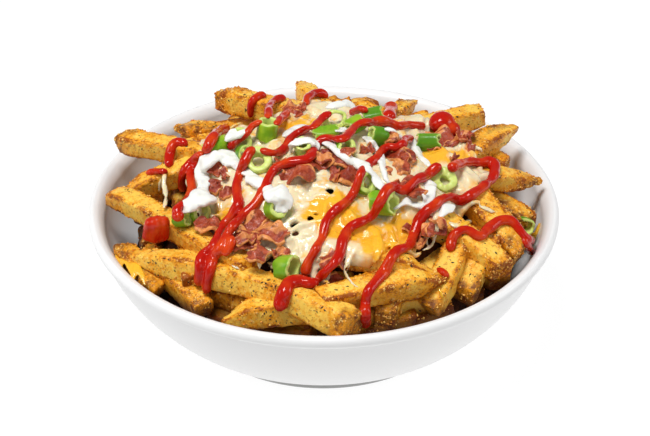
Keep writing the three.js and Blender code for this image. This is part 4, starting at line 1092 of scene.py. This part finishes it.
def make_cheese():
    sizes = bpy.context.scene.fries_sizes
    parts = Shape()
    add_blanket(parts, sizes.cheese_thickness / MM)
    for number, share in COATS:
        add_coat(parts, TOP_FRIES[number], number + 1, share)
    tints = add_shreds(parts)
    add_strands(parts)
    obj = remeshed("cheese_blanket", parts, sizes.cheese_voxel, 2, cheese_paint())
    points = mesh_points(obj.data)
    tree = KDTree(len(tints))
    for i, (place, _) in enumerate(tints):
        tree.insert(place, i)
    tree.balance()
    yellow = yellow_share(points[:, 0], points[:, 1])
    for i, point in enumerate(points):
        _, k, away = tree.find(point)
        near = max(0.0, 1 - away / TINT_REACH)
        yellow[i] += (tints[k][1] - yellow[i]) * near * 0.6
    yellow += 0.30 * bumps(points, 4.0, 21)
    write_shade(obj.data, "yellow", np.clip(yellow, 0, 1))
    register_piece(obj, ["melted_cheese"])


def add_tube(parts, path, radius, around, flatten=1.0):
    """Closed tube of changing radius along a path of points."""
    side, lift = across(np.gradient(path, axis=0))
    turn = circle(around)
    ring = (side[:, None, :] * np.cos(turn)[None, :, None]
            + lift[:, None, :] * flatten * np.sin(turn)[None, :, None])
    points = path[:, None, :] + ring * radius[:, None, None]
    parts.add(points.reshape(-1, 3), tube_faces(len(path), around))


def yellow_share(x, y):
    share = np.full(np.shape(x), 0.20)
    for cx, cy, size in YELLOW_PATCHES:
        share = share + 0.7 * np.exp(-((x - cx) ** 2 + (y - cy) ** 2) / (size * 0.62) ** 2)
    return share


def add_shreds(parts):
    """Half melted shreds that lie over the blanket and its edge, and the tint of each."""
    tints = []
    for i in range(SHREDS):
        azimuth = TURN * draw(i, 61)
        edge = float(cheese_edge(math.degrees(azimuth)))
        r = edge * (0.12 + 0.95 * draw(i, 62) ** 0.6)
        if azimuth < math.pi and draw(i, 67) > 0.5:
            continue
        x, y = r * math.cos(azimuth), r * math.sin(azimuth)
        turn = TURN * draw(i, 63)
        length = 7 + 15 * draw(i, 64)
        bend = 0.7 * sway(i, 65)
        s = np.linspace(-0.5, 0.5, SHRED_POINTS)
        px = x + length * s * math.cos(turn) - bend * length * s * s * 2 * math.sin(turn)
        py = y + length * s * math.sin(turn) + bend * length * s * s * 2 * math.cos(turn)
        if np.hypot(px, py).max() > edge + 4:
            continue
        path = np.stack([px, py, cheese_surface(px, py) - 0.1], axis=1)
        radius = (0.8 + 0.6 * draw(i, 66)) * np.sqrt(np.clip(1 - (2 * s) ** 4, 0.05, 1))
        add_tube(parts, path, radius, SHRED_SIDES)
        tint = 0.85 if draw(i, 68) < 0.25 + 0.6 * float(yellow_share(x, y)) else 0.05
        tints += [(place, tint) for place in path[::2]]
    return tints


# Fries with cheese on their inner ends: number in the table and covered share of the length
COATS = [(9, 0.55), (10, 0.52), (12, 0.46), (13, 0.50), (14, 0.50), (17, 0.40), (19, 0.30), (22, 0.62)]
COAT_SIDES = 40


def add_coat(parts, row, seed, share):
    """Cheese that has run over the inner end of a fry and down its sides, with a ragged end."""
    length = fry_length(row)
    along = np.arange(length * (1 - share) - 3.0, length - 0.5, 0.8)
    centre, side, lift, _, w, h = fry_spine(row, seed, along)
    cu, cv = section_of(COAT_SIDES, 4.0)
    ring = (side[:, None, :] * (w[:, None] * cu[None, :])[..., None]
            + lift[:, None, :] * (h[:, None] * cv[None, :])[..., None])
    flat = (centre[:, None, :] + ring).reshape(-1, 3)
    out = ring.reshape(-1, 3)
    out = out / np.linalg.norm(out, axis=1, keepdims=True)
    drip = grain(flat * [1, 1, 0.25], 5.0, seed + 40)
    reach = np.repeat(along - along[0], COAT_SIDES) - 9.0 * grain(flat, 4.0, seed + 41)
    cover = smooth(0.0, 3.0, reach) * smooth(0.0, 0.35, np.tile(cv, len(along)) + 1.5 * drip - 0.35)
    swell = cover * (1.7 + 1.5 * bumps(flat, 3.0, seed + 42)) - 1.5 * (1 - cover)
    parts.add(flat + out * swell[:, None], tube_faces(len(along), COAT_SIDES))


def add_strands(parts):
    """Thin cheese strings, drips and scraps at the edge."""
    for i, (radius, path) in enumerate(STRANDS):
        add_string(parts, path, max(radius, 0.8), 70 + i, 0.16, 0.5 if radius > 1.2 else 1.0, 5.0)


# Toppings
def turned_points(points, x, y, z, azimuth, lean, roll=0.0):
    """Points rolled about X, leaned about Y, then turned about Z and moved."""
    cr, sr = math.cos(roll), math.sin(roll)
    cl, sl = math.cos(lean), math.sin(lean)
    ca, sa = math.cos(azimuth), math.sin(azimuth)
    py = points[:, 1] * cr - points[:, 2] * sr
    pz = points[:, 1] * sr + points[:, 2] * cr
    px = points[:, 0] * cl + pz * sl
    pz = -points[:, 0] * sl + pz * cl
    return np.stack([px * ca - py * sa + x, px * sa + py * ca + y, pz + z], axis=1)


# Green onions: sides, and the pieces that are pale inside or dark outside
RING_STEPS = 48
ARC_STEPS = 30
RING_SIDES = 20
PALE_ONIONS = {4: 0.62, 5: 0.45, 18: 0.5, 11: 0.45, 2: 0.35}
DARK_ONIONS = (3, 13, 14, 19, 20)


def make_onions():
    shape = Shape()
    section = circle(RING_SIDES)
    cs, ss = boxy(np.cos(section), 0.5), boxy(np.sin(section), 0.35)
    for i, (x, y, sink, radius, wall, length, azimuth, elevation, arc) in enumerate(ONIONS):
        if arc == 360:
            turn = circle(RING_STEPS)
            faces = grid_faces(RING_STEPS, RING_SIDES, close_rows=True)
        else:
            turn = np.radians(np.linspace(90 - arc / 2, 90 + arc / 2, ARC_STEPS))
            faces = tube_faces(ARC_STEPS, RING_SIDES)
        phase = 6 * draw(i, 71)
        oval = (1 + (0.05 + 0.09 * draw(i, 73)) * np.cos(2 * turn + phase)
                + 0.03 * np.sin(5 * turn + 6 * draw(i, 72)))
        thick = wall * (1 + 0.22 * np.sin(turn + phase))
        r = ((radius - wall / 2) * oval)[:, None] + (thick / 2)[:, None] * cs[None, :]
        slant = 0.16 * (draw(i, 74) - 0.3) * radius * np.cos(turn + phase)
        rough = 0.05 * length * np.sin(3 * turn + i) + 0.03 * length * np.sin(7 * turn + 2 * i)
        tall = slant[:, None] + ((length / 2) + rough)[:, None] * ss[None, :]
        points = np.stack([r * np.cos(turn)[:, None], r * np.sin(turn)[:, None], tall], axis=-1).reshape(-1, 3)
        points += 0.22 * bumps(points, 1.6, i)[:, None]
        inside = np.maximum(np.clip(0.52 - 0.55 * cs, 0, 1), 0.75 * np.abs(ss) ** 6)
        inside = np.clip(np.tile(inside, len(turn)) + PALE_ONIONS.get(i, 0.0), 0, 1)
        lean = math.radians(90 - elevation)
        reach = abs(length / 2 * math.cos(lean)) + abs(radius * math.sin(lean))
        z = float(cheese_top(x, y)) - sink + reach * 0.72
        placed = turned_points(points, x, y, z, math.radians(azimuth), lean)
        shape.add(placed, faces, inside=inside, dark=0.75 if i in DARK_ONIONS else 0.4 * draw(i, 75))
    register_piece(shape.object("green_onion_rings", onion_paint()), ONION_NODES)


# Bacon: rows and columns of a long and of a short piece
LONG_BACON = (34, 18)
SHORT_BACON = (22, 12)
FIRST_BIT_SEED = 31


def raised(points, height):
    moved = points.copy()
    moved[:, 2] += height
    return moved


def slab_faces(steps, columns):
    """Faces of a slab: its top layer of points, the layer under it and the border between them."""
    count = steps * columns
    faces = []
    for a in range(steps - 1):
        for b in range(columns - 1):
            q = a * columns + b
            quad = (q, q + columns, q + columns + 1, q + 1)
            faces += [quad, tuple(k + count for k in quad[::-1])]
    border = [(0, b) for b in range(columns)] + [(a, columns - 1) for a in range(1, steps)]
    border += [(steps - 1, b) for b in range(columns - 2, -1, -1)] + [(a, 0) for a in range(steps - 2, 0, -1)]
    ids = [a * columns + b for a, b in border]
    return faces + [(here, after, after + count, here + count) for here, after in zip(ids, ids[1:] + ids[:1])]


def add_bacon(shape, seed, place, length, width, turn, wave, curl):
    """One wrinkled piece of crisp bacon with its fat along one edge."""
    steps, columns = LONG_BACON if length > 9 else SHORT_BACON
    s = np.linspace(0, 1, steps)
    coarse = np.linspace(0, 1, 5 if length > 11 else 4)
    widths = np.array([0.86 + 0.28 * draw(seed, 2 + k) for k in range(len(coarse))])
    w = width / 2 * np.interp(s, coarse, widths) * (0.98 + 0.07 * np.sin(s * 17 + seed))
    w *= np.sqrt(np.clip(1 - np.abs(2 * s - 1) ** 7, 0.30, 1))
    swell = wave * np.sin(s * 7.5 + 6 * draw(seed, 1))
    tilt = curl * np.cos(s * (len(coarse) - 1) * 1.7 + seed) * 0.3
    c = np.linspace(-1, 1, columns)
    grid_u = (s - 0.5)[:, None] * length + 0.5 * np.sin(c * 3 + seed)[None, :]
    grid_v = w[:, None] * (c[None, :] + 0.07 * np.sin(s * 9 + 5 * draw(seed, 81))[:, None])
    grid_z = swell[:, None] - tilt[:, None] * w[:, None] * c[None, :]
    grid_z = grid_z + 0.9 * (c[None, :] ** 2) * np.sin(s * 11 + 6 * draw(seed, 82))[:, None]
    base = np.stack([grid_u, grid_v, grid_z], axis=-1).reshape(-1, 3)
    ruffle = 1.1 * bumps(base, 3.0, seed) + 0.6 * bumps(base, 1.3, seed + 3)
    base[:, 0] += 1.3 * bumps(base, 2.6, seed + 11)
    base[:, 1] += 1.3 * bumps(base, 2.6, seed + 12)
    edge = np.maximum(np.abs(c)[None, :], np.abs(2 * s - 1)[:, None]).reshape(-1)
    half = (0.62 + 0.35 * edge ** 3) * np.sqrt(np.clip(1 - edge ** 10, 0.03, 1))
    points = np.concatenate([raised(base, ruffle + half), raised(base, ruffle - half)])
    band = np.tile(c * (1 if draw(seed, 8) > 0.5 else -1), 2 * steps)
    streak = grain(points * [0.25, 1, 0], 2.2, seed)
    fat = (0.02 + 0.66 * smooth(0.56, 0.86, band) + 0.34 * np.tile(edge ** 7, 2)
           + 0.5 * smooth(0.62, 0.8, streak))
    shape.add(turned_points(points, *place, *turn), slab_faces(steps, columns), fat=np.clip(fat, 0, 1))


def make_bacon():
    shape = Shape()
    for i, (x, y, lift, length, width, yaw, pitch, roll, wave, curl) in enumerate(BACON):
        place = (x, y, float(cheese_top(x, y)) + lift)
        add_bacon(shape, i + 1, place, length, width, np.radians([yaw, pitch, roll]), wave, curl)
    for i, (x, y, z, length, yaw, roll) in enumerate(BACON_BITS):
        width = length * (0.5 + 0.25 * draw(i, 84))
        turn = np.radians([yaw, 20 * sway(i, 83), roll])
        add_bacon(shape, FIRST_BIT_SEED + i, (x, y, z), length, width, turn, 0.9, 0.5)
    register_piece(shape.object("bacon_pieces", bacon_paint()), BACON_NODES)


# Sauces
SOLID_PIECES = ("glazed_bowl", "heap_core", "fries_on_top", "fries_below", "cheese_blanket",
                "green_onion_rings", "bacon_pieces")
STRING_SPACING = 0.7
STRING_SIDES = 14
DROP_ROWS = 12
DROP_SIDES = 18


def piece_trees():
    """Search trees of the pieces that can cover a fry."""
    trees = []
    for name in SOLID_PIECES:
        mesh = bpy.data.objects[name].data
        polygons = [tuple(p.vertices) for p in mesh.polygons]
        trees.append(BVHTree.FromPolygons([v.co for v in mesh.vertices], polygons))
    return trees


def spread_points(path, spacing):
    """Points at even steps along a path with its corners rounded."""
    path = np.array(path, float)
    run = np.concatenate([[0], np.cumsum(np.linalg.norm(np.diff(path, axis=0), axis=1))])
    even = np.linspace(0, run[-1], max(6, int(run[-1] / spacing)))
    points = np.stack([np.interp(even, run, path[:, k]) for k in range(3)], axis=1)
    for _ in range(3):
        points[1:-1] = (points[:-2] + 2 * points[1:-1] + points[2:]) / 4
    return points


def add_string(parts, path, radius, seed, swing, flatten, taper=3.2):
    """Poured string with uneven thickness and thin ends."""
    points = spread_points(path, STRING_SPACING)
    k = np.arange(len(points))
    ends = np.sqrt(np.clip((np.minimum(k, len(points) - 1 - k) + 0.4) / taper, 0.15, 1))
    beat = 1 + swing * np.sin(k * 0.13 + seed) + 0.6 * swing * np.sin(k * 0.37 + 2 * seed)
    add_tube(parts, points, radius * ends * beat, STRING_SIDES, flatten)


def add_drop(parts, x, y, z, radius):
    polar = np.linspace(0.02, math.pi - 0.02, DROP_ROWS)
    rows = [ring_of(radius * math.sin(a), circle(DROP_SIDES), -0.85 * radius * math.cos(a)) for a in polar]
    parts.add(np.concatenate(rows) + [x, y, z], tube_faces(DROP_ROWS, DROP_SIDES))


def make_cream():
    sizes = bpy.context.scene.fries_sizes
    parts = Shape()
    for i, (radius, path) in enumerate(CREAM):
        add_string(parts, path, 1.1 * radius * sizes.cream_scale, 40 + i, 0.16, 0.52, 6.0)
    obj = remeshed("sour_cream_strings", parts, sizes.sauce_voxel, 3, cream_paint())
    ruffle_surface(obj.data, 1.5, 3.4)
    register_piece(obj, ["melted_cheese", "fries_heap"])


def make_ketchup():
    sizes = bpy.context.scene.fries_sizes
    parts = Shape()
    for i, (radius, path) in enumerate(KETCHUP):
        add_string(parts, path, radius * sizes.ketchup_scale, i, 0.10, 0.92)
    for x, y, z, radius in KETCHUP_BLOBS:
        add_drop(parts, x, y, z, radius * sizes.ketchup_scale)
    obj = remeshed("ketchup_strings", parts, sizes.sauce_voxel, 4, ketchup_paint())
    ruffle_surface(obj.data, 0.35, 3.5)
    register_piece(obj, ["melted_cheese", "fries_heap"])


# Seasoning: pepper flecks and crust crumbs on the fries that show
PEPPER_COUNT = 2200
CRUMB_COUNT = 8000


def open_places(count, seed, edges):
    """Uncovered random places on the fries and the way out there; edges is the pull to browned edges."""
    trees = piece_trees()
    rng = np.random.default_rng(seed)
    places, ways = [], []
    for name in ("fries_on_top", "fries_below"):
        mesh = bpy.data.objects[name].data
        points = mesh_points(mesh)
        mesh.calc_loop_triangles()
        corners = np.empty(len(mesh.loop_triangles) * 3, np.int32)
        mesh.loop_triangles.foreach_get("vertices", corners)
        a, b, c = (points[corners.reshape(-1, 3)[:, k]] for k in range(3))
        normal = np.cross(b - a, c - a)
        area = np.linalg.norm(normal, axis=1)
        normal /= np.maximum(area, 1e-9)[:, None]
        brown_and_shade = np.empty(len(mesh.vertices), np.float32)
        mesh.attributes["browning"].data.foreach_get("value", brown_and_shade)
        wanted = edges * brown_and_shade[corners[::3]] + (1 - edges) * grain(a, 7.0, seed) ** 3
        share = area * (normal[:, 2] > -0.35) * (a[:, 2] > 40) * (0.03 + wanted)
        pick = rng.choice(len(area), size=count, p=share / share.sum())
        u, v = rng.random(count), rng.random(count)
        over = u + v > 1
        u, v = np.where(over, 1 - u, u), np.where(over, 1 - v, v)
        places.append(a[pick] + (b - a)[pick] * u[:, None] + (c - a)[pick] * v[:, None])
        ways.append(normal[pick])
    places, ways = np.concatenate(places), np.concatenate(ways)
    free = np.array([
        not any(tree.ray_cast(Vector((place + way * 0.6) * MM), Vector(way + [0, 0, 0.6]))[0] for tree in trees)
        for place, way in zip(places, ways)])
    return places[free], ways[free], rng


def add_flakes(shape, places, ways, rng, long, wide, high):
    """Small eight sided grains lying on a surface."""
    corners = np.array([[1, 0, 0], [0, 1, 0], [-1, 0, 0], [0, -1, 0], [0, 0, 1], [0, 0, -1]], float)
    faces = [(0, 1, 4), (1, 2, 4), (2, 3, 4), (3, 0, 4), (1, 0, 5), (2, 1, 5), (3, 2, 5), (0, 3, 5)]
    for place, way in zip(places, ways):
        other = rng.normal(size=3)
        side = np.cross(way, other)
        side /= np.linalg.norm(side)
        ahead = np.cross(side, way)
        size = 0.42 + 1.4 * rng.random() ** 2.3
        frame_rows = np.stack([side * long * size, ahead * wide * size, way * high * size])
        jitter = 1 + 0.35 * (rng.random((6, 1)) - 0.5)
        shape.add(place + way * high * 0.25 + (corners * jitter) @ frame_rows, faces)


def sprinkle(name, paint, count, seed, edges, size):
    shape = Shape()
    places, ways, rng = open_places(count, seed, edges)
    add_flakes(shape, places, ways, rng, *size)
    register_piece(shape.object(name, paint), ["fries_heap"])


def make_seasoning():
    pepper = Paint("ground_pepper").finish((0.035, 0.022, 0.010), Roughness=0.6)
    sprinkle("pepper_flecks", pepper, PEPPER_COUNT, 5, 0.0, (0.52, 0.24, 0.16))
    paint = Paint("crust_crumbs")
    colour = paint.mix(paint.patches(0.40, 0.62, 420.0, 2.0), (0.66, 0.20, 0.012), (0.96, 0.60, 0.14))
    crumbs = paint.finish(colour, Roughness=0.35, Specular_IOR_Level=0.4)
    sprinkle("crust_crumbs", crumbs, CRUMB_COUNT, 6, 1.0, (0.46, 0.38, 0.34))


# Stage: pale floor, soft light and the camera
CAMERA_PLACE = (0.0, -0.5897, 0.4351)
CAMERA_PITCH = -33.38
CAMERA_YAW = -0.055
LENS = 86.4
SENSOR = 36.0
WORLD_STRENGTH = 0.165
FLOOR_HALF = 6
FLOOR_DROP = 0.0002
FLOOR_GLOW = 0.93

# Lights: name, place, size, power and the point they face
LIGHTS = [
    ("key_light", (-0.26, -0.18, 1.25), 0.42, 13.5, (0, 0, 0.05)),
    ("left_light", (-1.1, -0.10, 0.70), 0.5, 3.3, (0, 0, 0.05)),
    ("right_light", (1.2, 0.0, 0.65), 0.6, 4.2, (0, 0, 0.05)),
    ("front_light", (0.15, -1.0, 0.60), 0.6, 1.1, (0, 0, 0.06)),
]


def make_stage():
    scene = bpy.context.scene
    floor_mesh = bpy.data.meshes.new("floor")
    corners = [(-FLOOR_HALF, -FLOOR_HALF, 0), (FLOOR_HALF, -FLOOR_HALF, 0),
               (FLOOR_HALF, FLOOR_HALF, 0), (-FLOOR_HALF, FLOOR_HALF, 0)]
    floor_mesh.from_pydata(corners, [], [(0, 1, 2, 3)])
    floor_mesh.materials.append(Paint("pale_floor").finish(
        (0.10, 0.10, 0.10), Roughness=0.9, Emission_Color=(1, 1, 1), Emission_Strength=FLOOR_GLOW))
    floor = bpy.data.objects.new("floor", floor_mesh)
    floor.location.z = -FLOOR_DROP
    scene.collection.objects.link(floor)
    for name, place, size, power, aim in LIGHTS:
        data = bpy.data.lights.new(name, "AREA")
        data.size = size
        data.energy = power
        light = bpy.data.objects.new(name, data)
        light.location = place
        light.rotation_euler = (Vector(aim) - Vector(place)).to_track_quat("-Z", "Y").to_euler()
        scene.collection.objects.link(light)
    world = bpy.data.worlds.new("studio")
    world.use_nodes = True
    background = world.node_tree.nodes["Background"]
    background.inputs["Color"].default_value = (1, 1, 1, 1)
    background.inputs["Strength"].default_value = WORLD_STRENGTH
    scene.world = world
    camera_data = bpy.data.cameras.new("camera")
    camera_data.lens = LENS
    camera_data.sensor_width = SENSOR
    camera = bpy.data.objects.new("camera", camera_data)
    camera.location = CAMERA_PLACE
    camera.rotation_euler = (math.radians(90 + CAMERA_PITCH), 0, math.radians(CAMERA_YAW))
    scene.collection.objects.link(camera)
    scene.camera = camera
    scene.view_settings.view_transform = "Standard"
    scene.view_settings.look = "None"


# Operators: one for each piece or group of like pieces
class Builder:
    """What the buttons share: each runs the functions in its list."""

    def execute(self, context):
        for build in self.builds:
            build()
        return {"FINISHED"}


class FRIES_OT_bowl(Builder, bpy.types.Operator):
    """Turn the white glazed bowl"""
    bl_idname = "fries.bowl"
    bl_label = "Bowl"
    builds = (make_bowl,)


class FRIES_OT_heap(Builder, bpy.types.Operator):
    """Lay the core of the heap and the fries on it"""
    bl_idname = "fries.heap"
    bl_label = "Fries"
    builds = (make_core, make_fries)


class FRIES_OT_cheese(Builder, bpy.types.Operator):
    """Melt the cheese over the fries"""
    bl_idname = "fries.cheese"
    bl_label = "Cheese"
    builds = (make_cheese,)


class FRIES_OT_onions(Builder, bpy.types.Operator):
    """Scatter the green onion rings"""
    bl_idname = "fries.onions"
    bl_label = "Green onion"
    builds = (make_onions,)


class FRIES_OT_bacon(Builder, bpy.types.Operator):
    """Scatter the bacon pieces"""
    bl_idname = "fries.bacon"
    bl_label = "Bacon"
    builds = (make_bacon,)


class FRIES_OT_cream(Builder, bpy.types.Operator):
    """Drizzle the sour cream"""
    bl_idname = "fries.cream"
    bl_label = "Sour cream"
    builds = (make_cream,)


class FRIES_OT_ketchup(Builder, bpy.types.Operator):
    """Drizzle the ketchup"""
    bl_idname = "fries.ketchup"
    bl_label = "Ketchup"
    builds = (make_ketchup,)


class FRIES_OT_seasoning(Builder, bpy.types.Operator):
    """Sprinkle pepper flecks and crust crumbs on the fries"""
    bl_idname = "fries.seasoning"
    bl_label = "Seasoning"
    builds = (make_seasoning,)


class FRIES_OT_stage(Builder, bpy.types.Operator):
    """Set up the floor, the lights and the camera"""
    bl_idname = "fries.stage"
    bl_label = "Stage"
    builds = (make_stage,)


OPERATORS = (FRIES_OT_bowl, FRIES_OT_heap, FRIES_OT_cheese, FRIES_OT_onions, FRIES_OT_bacon,
             FRIES_OT_cream, FRIES_OT_ketchup, FRIES_OT_seasoning, FRIES_OT_stage)


class FRIES_PT_panel(bpy.types.Panel):
    """Buttons and settings of the loaded fries bowl"""
    bl_label = "Loaded fries"
    bl_idname = "FRIES_PT_panel"
    bl_space_type = "VIEW_3D"
    bl_region_type = "UI"
    bl_category = "Loaded fries"

    def draw(self, context):
        for operator in OPERATORS:
            self.layout.operator(operator.bl_idname)
        for group in (context.scene.fries_sizes, context.scene.fries_colours):
            for name in group.__annotations__:
                self.layout.prop(group, name)


CLASSES = (FriesSizes, FriesColours, *OPERATORS, FRIES_PT_panel)


def register():
    for cls in CLASSES:
        bpy.utils.register_class(cls)
    bpy.types.Scene.fries_sizes = bpy.props.PointerProperty(type=FriesSizes)
    bpy.types.Scene.fries_colours = bpy.props.PointerProperty(type=FriesColours)


def unregister():
    del bpy.types.Scene.fries_colours
    del bpy.types.Scene.fries_sizes
    for cls in reversed(CLASSES):
        bpy.utils.unregister_class(cls)


def main():
    register()
    bpy.ops.fries.bowl()
    bpy.ops.fries.heap()
    bpy.ops.fries.cheese()
    bpy.ops.fries.onions()
    bpy.ops.fries.bacon()
    bpy.ops.fries.cream()
    bpy.ops.fries.ketchup()
    bpy.ops.fries.seasoning()
    bpy.ops.fries.stage()


if __name__ == "__main__":
    main()
